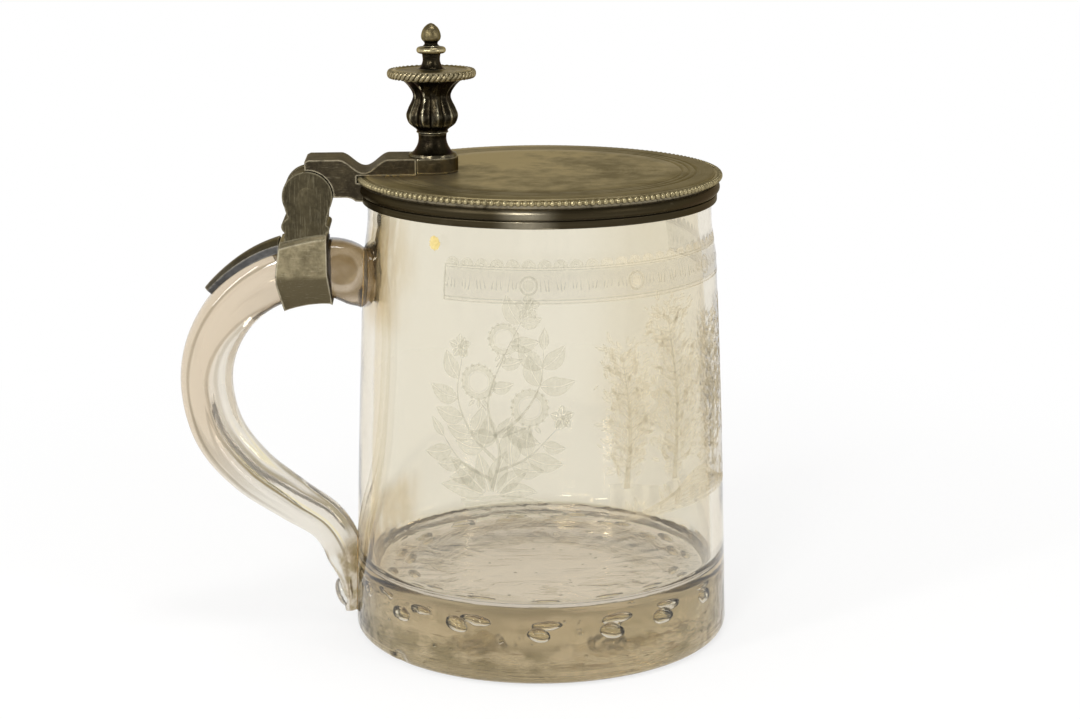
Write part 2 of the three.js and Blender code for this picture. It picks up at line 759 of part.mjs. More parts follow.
function thumbStud() {
  const profile = [
    [0, BLOCK_TOP - STUD_DEPTH],
    [STUD_RADIUS, BLOCK_TOP - STUD_DEPTH],
    [STUD_RADIUS, SPOOL_TOP + STUD_RISE],
    [0, SPOOL_TOP + STUD_RISE],
  ];
  return turned(profile, 12).translate(THUMB_X, 0, 0);
}

place("glass_body", glassBody(), GLASS.clone());
place("glass_handle", glassHandle(), GLASS.clone());
place("handle_collar", handleCollar(), SILVER.clone());
place("collar_packing", collarPacking(), CEMENT.clone());
place("spine_strap", spineStrap(), SILVER.clone());
place("hinge_block", hingeBlock(), SILVER.clone());
place("hinge_pin", hingePin(), SILVER.clone());
place("lid_arm", lidArm(), SILVER.clone());
place("lid_plate", lidPlate(), SILVER.clone());
place("lid_skirt", lidSkirt(), DARK_SILVER.clone());
place("lid_moulding", lidMoulding(), DARK_SILVER.clone());
place("lid_bead_wire", beadWire(), SILVER.clone());
place("thumb_block", thumbBlock(), SILVER.clone());
place("thumb_foot", thumbFoot(), DARK_SILVER.clone());
place("thumb_vase", thumbVase(), DARK_SILVER.clone());
place("thumb_disc", thumbDisc(), SILVER.clone());
place("thumb_rope_edge", thumbRope(), SILVER.clone());
place("thumb_spool", thumbSpool(), DARK_SILVER.clone());
place("thumb_finial", thumbFinial(), SILVER.clone());
place("thumb_stud", thumbStud(), SILVER.clone());

export default tankard;
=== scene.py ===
"""Looks of a lidded glass tankard: a thick foot, an applied handle, and an old silver lid on a hinge."""

import json
import logging
import math
import random
from collections.abc import Callable, Sequence
from dataclasses import dataclass, field, replace
from enum import Enum

import bmesh
import bpy
from mathutils import Matrix, Vector
from mathutils.kdtree import KDTree


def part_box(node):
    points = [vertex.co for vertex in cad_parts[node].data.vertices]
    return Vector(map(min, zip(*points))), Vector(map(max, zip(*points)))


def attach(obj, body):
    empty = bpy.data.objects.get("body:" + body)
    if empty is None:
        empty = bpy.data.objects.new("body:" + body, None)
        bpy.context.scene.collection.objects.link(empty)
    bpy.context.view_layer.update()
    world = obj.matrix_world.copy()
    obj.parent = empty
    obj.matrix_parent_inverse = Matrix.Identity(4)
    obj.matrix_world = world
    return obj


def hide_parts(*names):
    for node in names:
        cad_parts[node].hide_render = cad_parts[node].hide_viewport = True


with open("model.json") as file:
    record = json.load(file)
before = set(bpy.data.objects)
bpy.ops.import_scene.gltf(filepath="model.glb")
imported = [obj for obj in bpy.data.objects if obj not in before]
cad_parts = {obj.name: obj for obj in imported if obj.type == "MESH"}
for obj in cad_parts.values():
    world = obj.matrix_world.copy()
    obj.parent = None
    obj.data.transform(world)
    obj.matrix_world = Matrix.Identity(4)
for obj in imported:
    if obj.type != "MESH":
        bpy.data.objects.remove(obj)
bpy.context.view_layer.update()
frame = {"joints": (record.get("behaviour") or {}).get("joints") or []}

LOG = logging.getLogger("tankard")
MM = 0.001
TAU = 2 * math.pi

Pair = tuple[float, float]
Colour = tuple[float, float, float]


class Body(Enum):
    """The two bodies that pieces ride on."""

    MUG = "mug"
    LID = "lid"


class Join(Enum):
    """What an exact boolean does with the second solid."""

    ADD = "UNION"
    CUT = "DIFFERENCE"


class Edges(Enum):
    """Where a finish finds the edges that are worn bright and carry painted highlights: in the points of a
    fine mesh, or in rounded normals.
    """

    FINE_MESH = "fine mesh"
    ROUNDED = "rounded"


class Marks(Enum):
    """Which way the wear marks run on a piece of silver."""

    CROSSED = "crossed"
    UPRIGHT = "upright"
    TURNED = "turned"


def mix(a: float, b: float, t: float) -> float:
    """Goes from a to b as t goes from 0 to 1."""
    return a + (b - a) * t


def clamp(t: float) -> float:
    """Holds t between 0 and 1."""
    return min(max(t, 0.0), 1.0)


def ease(t: float) -> float:
    """Starts and ends level between 0 and 1."""
    t = clamp(t)
    return t * t * (3 - 2 * t)


def smooth_line(points: Sequence[Sequence[float]], steps: int) -> list[Vector]:
    """Draws a smooth line through a few points, each stretch in its own share of steps.

    Args:
        points: the points that the line goes through, in two or three dimensions.
        steps: how many steps each stretch between two points gets.

    Returns:
        The points of the line, both ends among them.
    """
    given = [Vector(p) for p in points]
    ends = [2 * given[0] - given[1], *given, 2 * given[-1] - given[-2]]
    line = []
    for a, b, c, d in zip(ends, ends[1:], ends[2:], ends[3:]):
        t1 = math.sqrt((b - a).length)
        t2 = t1 + math.sqrt((c - b).length)
        t3 = t2 + math.sqrt((d - c).length)
        for i in range(steps):
            t = mix(t1, t2, i / steps)
            ab = a * ((t1 - t) / t1) + b * (t / t1)
            bc = b * ((t2 - t) / (t2 - t1)) + c * ((t - t1) / (t2 - t1))
            cd = c * ((t3 - t) / (t3 - t2)) + d * ((t - t2) / (t3 - t2))
            abc = ab * ((t2 - t) / t2) + bc * (t / t2)
            bcd = bc * ((t3 - t) / (t3 - t1)) + cd * ((t - t1) / (t3 - t1))
            line.append(abc * ((t2 - t) / (t2 - t1)) + bcd * ((t - t1) / (t2 - t1)))
    return [*line, given[-1]]


def off(at: Sequence[float], reach: float, angle: float) -> Pair:
    """The place that lies so far from another in a direction, given in radians."""
    return at[0] + reach * math.cos(angle), at[1] + reach * math.sin(angle)


def arc(r: float, z: float, radius: float, start: float, end: float, steps: int) -> list[Pair]:
    """Points on an arc round (r, z), with angles in turns of half a circle."""
    angles = [mix(start, end, i / steps) * math.pi for i in range(steps + 1)]
    return [off((r, z), radius, a) for a in angles]


def rounded(outline: Sequence[Sequence[float]], times: int) -> list[tuple[float, ...]]:
    """Cuts the corners of a closed outline a few times, which rounds it.

    Args:
        outline: the closed outline's points.
        times: how many times the corners are cut.

    Returns:
        The points of the rounded outline.
    """
    for _ in range(times):
        pairs = list(zip(outline, [*outline[1:], outline[0]]))
        outline = [tuple(mix(a, b, k) for a, b in zip(p, q)) for p, q in pairs for k in (0.25, 0.75)]
    return list(outline)


def bow(start: Pair, pull: Pair, end: Pair, steps: int) -> list[Pair]:
    """Points after start on a curve that starts towards pull and ends from it.

    Args:
        start: where the curve starts; this point isn't given back.
        pull: the point that both ends lie towards.
        end: where it ends.
        steps: how many points it gets.

    Returns:
        The points of the curve.
    """
    line = []
    for i in range(1, steps + 1):
        t = i / steps
        weights = ((1 - t) ** 2, 2 * t * (1 - t), t * t)
        parts = list(zip(weights, (start, pull, end)))
        line.append((sum(w * p[0] for w, p in parts), sum(w * p[1] for w, p in parts)))
    return line


def verts_of(geom: Sequence[object]) -> list[bmesh.types.BMVert]:
    """The vertices among what an operator made."""
    return [v for v in geom if isinstance(v, bmesh.types.BMVert)]


class Workpiece:
    """A mesh in the making, in millimetres, that finish turns into an object in metres."""

    def __init__(self) -> None:
        """Starts with nothing."""
        self.bm = bmesh.new()

    @classmethod
    def turned(cls, profile: Sequence[Sequence[float]], steps: int, closed: bool = False) -> "Workpiece":
        """Spins a profile of (radius, height) points round the upright axis.

        Args:
            profile: the points, from one end to the other.
            steps: the number of steps in the full turn.
            closed: whether the profile is a loop that stands off the axis.

        Returns:
            The turned piece, with its faces outwards.
        """
        piece = cls()
        verts = [piece.bm.verts.new((r, 0, z)) for r, z in profile]
        edges = [piece.bm.edges.new(ends) for ends in zip(verts, verts[1:])]
        if closed:
            edges.append(piece.bm.edges.new((verts[-1], verts[0])))
        bmesh.ops.spin(
            piece.bm, geom=verts + edges, cent=(0, 0, 0), axis=(0, 0, 1), dvec=(0, 0, 0), angle=TAU,
            steps=steps, use_merge=True, use_duplicate=False
        )
        return piece.cleaned()

    @classmethod
    def lofted(cls, rings: Sequence[Sequence[Vector]], capped: bool = True) -> "Workpiece":
        """Draws a ring of edges through the places that each ring gives.

        Args:
            rings: closed rings of points, all of one length.
            capped: whether both ends are closed.

        Returns:
            The lofted skin, with its faces outwards where it is closed.
        """
        piece = cls()
        verts = [piece.bm.verts.new(p) for p in rings[0]]
        edges = [piece.bm.edges.new(ends) for ends in zip(verts, [*verts[1:], verts[0]])]
        ends = [list(edges)]
        for ring in rings[1:]:
            made = bmesh.ops.extrude_edge_only(piece.bm, edges=edges)["geom"]
            fresh = set(verts_of(made))
            place = {v: i for i, v in enumerate(verts)}
            for v in fresh:
                before = next(e.other_vert(v) for e in v.link_edges if e.other_vert(v) in place)
                verts[place[before]] = v
            for v, point in zip(verts, ring):
                v.co = point
            edges = [e for e in {e for v in fresh for e in v.link_edges} if set(e.verts) <= fresh]
        ends.append(edges)
        if capped:
            for loop in ends:
                bmesh.ops.contextual_create(piece.bm, geom=loop)
            return piece.cleaned()
        return piece

    @classmethod
    def slab(cls, outline: Sequence[Sequence[float]], along: Sequence[float]) -> "Workpiece":
        """Draws a flat outline out into a solid.

        Args:
            outline: the outline's points.
            along: which way and how far it is drawn out.

        Returns:
            The solid.
        """
        piece = cls()
        verts = [piece.bm.verts.new(p) for p in outline]
        edges = [piece.bm.edges.new(ends) for ends in zip(verts, [*verts[1:], verts[0]])]
        face = bmesh.ops.contextual_create(piece.bm, geom=edges)["faces"]
        made = bmesh.ops.extrude_face_region(piece.bm, geom=face)["geom"]
        bmesh.ops.translate(piece.bm, vec=along, verts=verts_of(made))
        return piece.cleaned()

    @classmethod
    def rod(cls, radius: float, low: float, high: float, steps: int = 96, soft: float = 0.0) -> "Workpiece":
        """A round bar on the upright axis between two heights, with its edges rounded by soft.

        Args:
            radius: the bar's radius.
            low: the height of its lower end.
            high: the height of its upper end.
            steps: the number of steps in the full turn.
            soft: the radius of its rounded edges, or 0 for none.

        Returns:
            The solid bar.
        """
        side: list[Pair] = [(0, low), (radius, low), (radius, high), (0, high)]
        if soft:
            side = [
                (0, low), *arc(radius - soft, low + soft, soft, -0.5, 0, 4),
                *arc(radius - soft, high - soft, soft, 0, 0.5, 4), (0, high)
            ]
        return cls.turned(side, steps)

    def cleaned(self) -> "Workpiece":
        """Merges doubles, then turns every face outwards.

        Returns:
            This piece.
        """
        bmesh.ops.remove_doubles(self.bm, verts=self.bm.verts, dist=1e-4)
        bmesh.ops.dissolve_degenerate(self.bm, edges=self.bm.edges, dist=1e-5)
        bmesh.ops.recalc_face_normals(self.bm, faces=self.bm.faces)
        return self

    def moved(self, matrix: Matrix) -> "Workpiece":
        """Moves the whole piece by a matrix."""
        bmesh.ops.transform(self.bm, matrix=matrix, verts=self.bm.verts)
        return self

    def on_pin(self, pin: Vector) -> "Workpiece":
        """Lays an upright turned piece along the hinge pin."""
        return self.moved(Matrix.Translation((pin.x, 0, pin.z)) @ Matrix.Rotation(math.radians(90), 4, "X"))

    def shaped(self, move: Callable[[Vector], Vector]) -> "Workpiece":
        """Moves each vertex to where a rule puts it.

        Args:
            move: gives the new place for an old one.

        Returns:
            This piece.
        """
        for v in self.bm.verts:
            v.co = move(v.co.copy())
        return self

    def add(self, other: "Workpiece") -> "Workpiece":
        """Takes in another piece's mesh as it is, and frees that piece.

        Args:
            other: the piece to take in.

        Returns:
            This piece.
        """
        mesh = bpy.data.meshes.new("added")
        other.bm.to_mesh(mesh)
        self.bm.from_mesh(mesh)
        bpy.data.meshes.remove(mesh)
        other.bm.free()
        return self

    def joined(self, other: "Workpiece", how: Join) -> "Workpiece":
        """Joins or cuts two closed pieces with an exact boolean.

        Args:
            other: the second solid, freed here.
            how: what is done with it.

        Returns:
            This piece with the result.
        """
        objects = []
        for piece in (self, other):
            mesh = bpy.data.meshes.new("solid")
            piece.bm.to_mesh(mesh)
            objects.append(bpy.data.objects.new("solid", mesh))
            bpy.context.scene.collection.objects.link(objects[-1])
        modifier = objects[0].modifiers.new("join", "BOOLEAN")
        modifier.operation = how.value
        modifier.solver = "EXACT"
        modifier.object = objects[1]
        graph = bpy.context.evaluated_depsgraph_get()
        result = bpy.data.meshes.new_from_object(objects[0].evaluated_get(graph))
        self.bm.clear()
        self.bm.from_mesh(result)
        other.bm.free()
        for obj in objects:
            mesh = obj.data
            bpy.data.objects.remove(obj)
            bpy.data.meshes.remove(mesh)
        bpy.data.meshes.remove(result)
        bmesh.ops.remove_doubles(self.bm, verts=self.bm.verts, dist=1e-4)
        return self

    def cut_off(self, x: float, side: int) -> list[bmesh.types.BMEdge]:
        """Cuts away what lies beyond a place along X.

        Args:
            x: the place.
            side: 1 to cut away what lies to the right of it, or -1 for the left.

        Returns:
            The edges along the cut.
        """
        geom = [*self.bm.verts, *self.bm.edges, *self.bm.faces]
        cut = bmesh.ops.bisect_plane(
            self.bm, geom=geom, dist=1e-5, plane_co=(x, 0, 0), plane_no=(side, 0, 0), clear_outer=True
        )["geom_cut"]
        return [e for e in cut if isinstance(e, bmesh.types.BMEdge)]

    def ball(self, matrix: Matrix, segments: int, rings: int, radius: float = 1.0) -> "Workpiece":
        """Adds a ball of so many steps round it and from pole to pole, put in place by a matrix."""
        bmesh.ops.create_uvsphere(
            self.bm, u_segments=segments, v_segments=rings, radius=radius, matrix=matrix
        )
        return self

    def simplified(self, angle: float = 1.0) -> "Workpiece":
        """Joins faces that lie level with each other, within an angle in degrees.

        Args:
            angle: the angle in degrees up to which faces count as level.

        Returns:
            This piece.
        """
        bmesh.ops.dissolve_limit(
            self.bm, angle_limit=math.radians(angle), verts=self.bm.verts, edges=self.bm.edges,
            use_dissolve_boundaries=False
        )
        return self

    def marked(self, index: int) -> "Workpiece":
        """Gives every face a material number."""
        for face in self.bm.faces:
            face.material_index = index
        return self

    def finish(
        self, name: str, materials: Sequence[bpy.types.Material], body: Body, slot: str,
        nodes: Sequence[str] = (), sharp: float = 38.0, edge: float = 0.0
    ) -> bpy.types.Object:
        """Makes the object in metres and ties it to the frame.

        Args:
            name: the piece's name.
            materials: its materials, by material number.
            body: what it rides on.
            slot: the record's material slot that it stands for; not used.
            nodes: the CAD nodes that it stands for.
            sharp: edges above this angle in degrees stay sharp.
            edge: width in millimetres of the bevel on those edges, or 0 for none.

        Returns:
            The finished object.
        """
        bmesh.ops.scale(self.bm, vec=(MM, MM, MM), verts=self.bm.verts)
        mesh = bpy.data.meshes.new(name)
        self.bm.to_mesh(mesh)
        self.bm.free()
        for material in materials:
            mesh.materials.append(material)
        mesh.shade_smooth()
        mesh.set_sharp_from_angle(angle=math.radians(sharp))
        obj = bpy.data.objects.new(name, mesh)
        bpy.context.scene.collection.objects.link(obj)
        if edge:
            bevel = obj.modifiers.new("edges", "BEVEL")
            bevel.width = edge * MM
            bevel.segments = 3
            bevel.limit_method = "ANGLE"
            bevel.angle_limit = math.radians(sharp)
            bevel.harden_normals = True
        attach(obj, body.value)
        if nodes:
            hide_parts(*nodes)
        LOG.info("%s: %d faces, rides on the %s", name, len(mesh.polygons), body.value)
        return obj


class Signal:
    """A shader socket that carries a number, on which Python's arithmetic adds Math nodes."""

    def __init__(self, paint: "Paint", socket: bpy.types.NodeSocket) -> None:
        """Wraps a socket of one of the paint's nodes."""
        self.paint = paint
        self.socket = socket

    def maths(self, operation: str, *others: "Signal | float", clamped: bool = False) -> "Signal":
        """Adds a Math node of an operation on this signal and others."""
        inputs = dict(enumerate([self, *others]))
        return self.paint.signal("ShaderNodeMath", {"operation": operation, "use_clamp": clamped}, inputs)

    def __add__(self, other: "Signal | float") -> "Signal":
        """Adds."""
        return self.maths("ADD", other)

    __radd__ = __add__

    def __mul__(self, other: "Signal | float") -> "Signal":
        """Multiplies."""
        return self.maths("MULTIPLY", other)

    __rmul__ = __mul__

    def __sub__(self, other: "Signal | float") -> "Signal":
        """Takes the other away."""
        return self.maths("SUBTRACT", other)

    def __rsub__(self, other: float) -> "Signal":
        """Takes this away from a number."""
        return self * -1.0 + other

    def __abs__(self) -> "Signal":
        """Drops the sign."""
        return self.maths("ABSOLUTE")

    def limited(self) -> "Signal":
        """Holds it between 0 and 1."""
        return self.maths("MULTIPLY", 1.0, clamped=True)

    def larger(self, other: "Signal | float") -> "Signal":
        """The larger of two."""
        return self.maths("MAXIMUM", other)

    def span(self, other: "Signal") -> "Signal":
        """How far from zero this and another, at right angles to it, lie together."""
        return (self * self + other * other).maths("SQRT")

    def step(self, low: float, high: float) -> "Signal":
        """Goes softly from 0 to 1 as it goes from low to high, which may be the smaller."""
        inputs = {"Value": self, "From Min": low, "From Max": high}
        return self.paint.signal("ShaderNodeMapRange", {"interpolation_type": "SMOOTHSTEP"}, inputs)


Feed = Signal | bpy.types.NodeSocket | float | Sequence[float]


class Paint:
    """The nodes of a material, or of the surround, in the making."""

    def __init__(self, name: str, surround: bool = False) -> None:
        """Starts an empty node tree for a material or a surround of this name.

        Args:
            name: the name of the material or surround.
            surround: whether this is the surround.
        """
        self.owner = (bpy.data.worlds if surround else bpy.data.materials).new(name)
        self.owner.use_nodes = True
        self.tree = self.owner.node_tree
        self.tree.nodes.clear()

    def node(self, kind: str, settings: dict[str, object], inputs: dict[str | int, Feed]) -> bpy.types.Node:
        """Adds a node.

        Args:
            kind: the node's type.
            settings: its own properties, which are set first.
            inputs: a value or a link for each socket named or numbered.

        Returns:
            The node.
        """
        node = self.tree.nodes.new(kind)
        for key, value in settings.items():
            setattr(node, key, value)
        for key, value in inputs.items():
            if isinstance(value, Signal):
                self.tree.links.new(value.socket, node.inputs[key])
            elif isinstance(value, bpy.types.NodeSocket):
                self.tree.links.new(value, node.inputs[key])
            else:
                node.inputs[key].default_value = value
        return node

    def signal(
        self, kind: str, settings: dict[str, object], inputs: dict[str | int, Feed], out: str | int = 0
    ) -> Signal:
        """Adds a node and wraps one of its outputs as a number."""
        return Signal(self, self.node(kind, settings, inputs).outputs[out])

    def place(self) -> bpy.types.NodeSocket:
        """Object coordinates in millimetres.

        Returns:
            The output that carries the place.
        """
        where = self.node("ShaderNodeTexCoord", {}, {}).outputs["Object"]
        inputs = {0: where, "Scale": 1 / MM}
        return self.node("ShaderNodeVectorMath", {"operation": "SCALE"}, inputs).outputs[0]

    def parts(self, place: bpy.types.NodeSocket) -> tuple[Signal, Signal, Signal]:
        """The three parts of a place."""
        outputs = self.node("ShaderNodeSeparateXYZ", {}, {0: place}).outputs
        return Signal(self, outputs[0]), Signal(self, outputs[1]), Signal(self, outputs[2])

    def joined(self, x: Feed, y: Feed, z: Feed) -> bpy.types.NodeSocket:
        """A place made of three numbers."""
        return self.node("ShaderNodeCombineXYZ", {}, {0: x, 1: y, 2: z}).outputs[0]

    def facing(self) -> Signal:
        """0 where the surface faces the viewer, and 1 at its outline."""
        return self.signal("ShaderNodeLayerWeight", {}, {"Blend": 0.5}, "Facing")

    def noise(
        self, place: bpy.types.NodeSocket, scale: float, detail: float = 3.0, rough: float = 0.55
    ) -> Signal:
        """Noise of so many cycles in a millimetre."""
        inputs = {"Vector": place, "Scale": scale, "Detail": detail, "Roughness": rough}
        return self.signal("ShaderNodeTexNoise", {}, inputs)

    def streaks(self, place: bpy.types.NodeSocket, turn: Colour, stretch: Colour, share: float) -> Signal:
        """Thin lines of noise.

        Args:
            place: the coordinates in millimetres.
            turn: how the pattern is turned, in radians.
            stretch: cycles in a millimetre along each axis.
            share: the noise level above which a line shows.

        Returns:
            1 on the lines and 0 off them.
        """
        inputs = {"Vector": place, "Rotation": turn, "Scale": stretch}
        moved = self.node("ShaderNodeMapping", {"vector_type": "POINT"}, inputs).outputs[0]
        return self.noise(moved, 1.0, 4.0, 0.65).step(share, share + 0.06)

    def blend(self, factor: Feed, a: Feed, b: Feed) -> bpy.types.NodeSocket:
        """Mixes two colours.

        Args:
            factor: 0 for the first colour, 1 for the second.
            a: the first colour.
            b: the second colour.

        Returns:
            The output that carries the colour.
        """
        inputs = {0: factor, 6: self.rgba(a), 7: self.rgba(b)}
        return self.node("ShaderNodeMix", {"data_type": "RGBA"}, inputs).outputs[2]

    @staticmethod
    def rgba(value: Feed) -> Feed:
        """Gives a written colour its fourth part."""
        return (*value, 1.0) if isinstance(value, tuple) and len(value) == 3 else value

    def bump(self, height: Feed, depth: float) -> bpy.types.NodeSocket:
        """A normal for a height that is so many millimetres deep."""
        return self.node("ShaderNodeBump", {}, {"Height": height, "Distance": depth * MM}).outputs[0]

    def surface(self, inputs: dict[str | int, Feed]) -> bpy.types.Node:
        """Adds the Principled shader."""
        return self.node("ShaderNodeBsdfPrincipled", {}, {k: self.rgba(v) for k, v in inputs.items()})

    def done(
        self, shader: bpy.types.NodeSocket, volume: bpy.types.NodeSocket | None = None
    ) -> bpy.types.Material:
        """Links the output and gives the material.

        Args:
            shader: the surface's shader.
            volume: the shader of what it encloses.

        Returns:
            The finished material.
        """
        inputs: dict[str | int, Feed] = {"Surface": shader}
        if volume is not None:
            inputs["Volume"] = volume
        self.node("ShaderNodeOutputMaterial", {}, inputs)
        return self.owner


@dataclass(frozen=True)
class ClearGlass:
    """Hand-worked glass with a straw tint and faint waves, with painted light and shade: darker towards the
    outline, greyer on the right side, and paler at the top and lower edge of the foot.
    """

    name: str
    tint: Colour = (0.912, 0.888, 0.81)
    depth_tint: Colour = (0.56, 0.44, 0.2)
    density: float = 16.0
    waves: float = 0.1
    outline_shade: Colour = (0.84, 0.66, 0.37)
    rim: Pair = (0.5, 0.98)
    foot_tint: Colour = (0.355, 0.33, 0.2)
    foot_pale_and_lit: Colour = (1.0, 0.955, 0.79)
    foot_below: Pair = (19.5, 15.0)
    foot_stain: Colour = (0.22, 0.14, 0.05)
    wall_brown: Colour = (0.6, 0.43, 0.16)
    browned_at: tuple[Pair, ...] = ((99.0, 17.0), (24.0, 13.0))
    browned_from: Pair = (-32.0, -43.0)
    browned_to: Pair = (-53.0, -49.0)
    right_side_shade: Colour = (0.85, 0.81, 0.7)
    right_side_shade_from: Pair = (8.0, 30.0)
    rough: float = 0.0
    worn: float = 0.04
    haze: float = 0.0

    def colour(self, paint: Paint, place: bpy.types.NodeSocket) -> Feed:
        """The tint of the surface, clouded and streaked on the foot, with painted shade towards the outline
        and on the right side, painted light at the top and lower edge of the foot, and browner patches by
        the handle's roots.

        Args:
            paint: the material in the making.
            place: the coordinates in millimetres.

        Returns:
            The output that carries the colour.
        """
        x, y, z = paint.parts(place)
        cloud = paint.noise(paint.joined(x * 0.055, y * 0.055, z * 0.1), 1.0, 4.0, 0.6)
        # the foot is paler in cloudy patches, and painted light makes it paler above 8 mm and near its lower
        # edge
        light = cloud.step(0.43, 0.57).larger(z.step(8.0, 13.0) * 0.9).larger(z.step(5.0, 2.0) * 0.5)
        foot = paint.blend(light, self.foot_tint, self.foot_pale_and_lit)
        thin = paint.noise(paint.joined(x * 0.07, y * 0.07, z * 0.6 + x * 0.03), 1.0, 3.0, 0.6)
        streak = thin.step(0.58, 0.66) * z.step(3.0, 5.0) * z.step(14.0, 10.0) * cloud.step(0.4, 0.5)
        specks = paint.noise(place, 1.3, 2.0).step(0.7, 0.75) * 0.3
        foot = paint.blend((streak * 0.75).larger(specks), foot, self.foot_stain)
        turned = paint.facing()
        # painted shade: the tint darkens towards the outline, on top of the volume's own absorption
        clear = paint.blend(turned.step(*self.rim), self.tint, self.outline_shade)
        film = paint.noise(paint.joined(x * 0.16, y * 0.16, z * 0.05), 1.0, 3.0, 0.6)
        film = film.step(0.3, 0.65) * 0.7 + 0.15
        # browner in cloudy patches on the wall's left, at the heights of the handle's roots
        beside = x.step(*self.browned_from) * x.step(*self.browned_to)
        for height, reach in self.browned_at:
            near = abs(z - height).step(reach, reach * 0.4) * beside
            clear = paint.blend((near * film * 0.8).limited(), clear, self.wall_brown)
        # painted shade: the wall's right side, away from its outline, is made greyer
        side = x.step(*self.right_side_shade_from) * z.step(34.0, 48.0) * turned.step(0.95, 0.6)
        clear = paint.blend(side * (film * 0.4 + 0.6), clear, self.right_side_shade)
        return paint.blend(z.step(*self.foot_below), clear, foot)

    def height(self, paint: Paint, place: bpy.types.NodeSocket) -> Signal:
        """The unevenness: broad waves and small ripples, and turned lines on the foot.

        Args:
            paint: the material in the making.
            place: the coordinates in millimetres.

        Returns:
            The height as a share of the waves' depth.
        """
        wave = paint.noise(place, 0.045, 1.0, 0.4)
        ripple = paint.noise(place, 0.25, 2.0, 0.5)
        x, y, z = paint.parts(place)
        lines = paint.noise(paint.joined(x * 0.02, y * 0.02, z * 0.9), 1.0, 2.0) * z.step(7.0, 4.0)
        lumps = paint.noise(place, 0.12, 2.0) * z.step(*self.foot_below)
        return wave + ripple * 0.08 + lines * 2.6 + lumps * 6.0

    def material(self) -> bpy.types.Material:
        """Makes the material.

        Returns:
            The finished material.
        """
        paint = Paint(self.name)
        place = paint.place()
        shader = paint.surface(
            {
                "Base Color": self.colour(paint, place),
                "Roughness": paint.parts(place)[2].step(25.0, 20.0) * self.worn + self.rough, "IOR": 1.5,
                "Transmission Weight": 1 - self.haze,
                "Normal": paint.bump(self.height(paint, place), self.waves)
            }
        )
        inputs = {"Color": (*self.depth_tint, 1.0), "Density": self.density}
        volume = paint.node("ShaderNodeVolumeAbsorption", {}, inputs)
        return paint.done(shader.outputs[0], volume.outputs[0])


@dataclass(frozen=True)
class GroundGlass(ClearGlass):
    """The floor and the underside: a pale clouded middle, and round it the feathered marks of a cut star."""

    tint: Colour = (1.0, 0.925, 0.84)
    dull: Colour = (0.56, 0.47, 0.31)
    dirt: Colour = (0.3, 0.2, 0.08)
    rough: float = 0.08
    waves: float = 0.08
    marked_from: Pair = (20.0, 27.0)
    strength: float = 0.4

    def marks(self, paint: Paint, place: bpy.types.NodeSocket) -> tuple[Signal, Signal]:
        """The feathered marks that run out from the middle, and the dark ring at the back of the middle.

        Args:
            paint: the material in the making.
            place: the coordinates in millimetres.

        Returns:
            Both patterns, from 0 to 1.
        """
        x, y, _ = paint.parts(place)
        radius = x.span(y)
        around = y.maths("ARCTAN2", x)
        swirl = paint.noise(place, 0.05, 2.0)
        feather = paint.noise(paint.joined(around * 4.5 + swirl * 5.0, radius * 0.12, 0.0), 1.0, 3.0, 0.55)
        fine = paint.noise(paint.joined(radius * 0.9 + swirl * 6.0, around * 1.5, 3.0), 1.0, 3.0, 0.6)
        ring = abs(radius - 32.0 + swirl * 6.0).step(6.0, 2.5) * y.step(-8.0, 8.0)
        feather = feather.step(0.46, 0.66) * radius.step(*self.marked_from)
        return feather, ring * (fine.step(0.4, 0.6) * 0.7 + 0.3)

    def colour(self, paint: Paint, place: bpy.types.NodeSocket) -> Feed:
        """The pale tint, dulled in the marks and browned in a few streaks.

        Args:
            paint: the material in the making.
            place: the coordinates in millimetres.

        Returns:
            The output that carries the colour.
        """
        feather, ring = self.marks(paint, place)
        x, y, z = paint.parts(place)
        outside = x.span(y).step(37.0, 42.0) * z.step(5.0, 10.0)
        old = paint.streaks(place, (0.0, 0.0, 0.1), (0.05, 0.45, 1.0), 0.6) * 0.5
        dulled = paint.blend((feather * self.strength + ring * 0.6).limited(), self.tint, self.dull)
        return paint.blend(outside, paint.blend(old, dulled, self.dirt), ClearGlass.tint)

    def height(self, paint: Paint, place: bpy.types.NodeSocket) -> Signal:
        """The depth of the marks.

        Args:
            paint: the material in the making.
            place: the coordinates in millimetres.

        Returns:
            The height as a share of the waves' depth.
        """
        feather, ring = self.marks(paint, place)
        return feather + ring * 0.6 + paint.noise(place, 0.08, 1.0) * 2.0


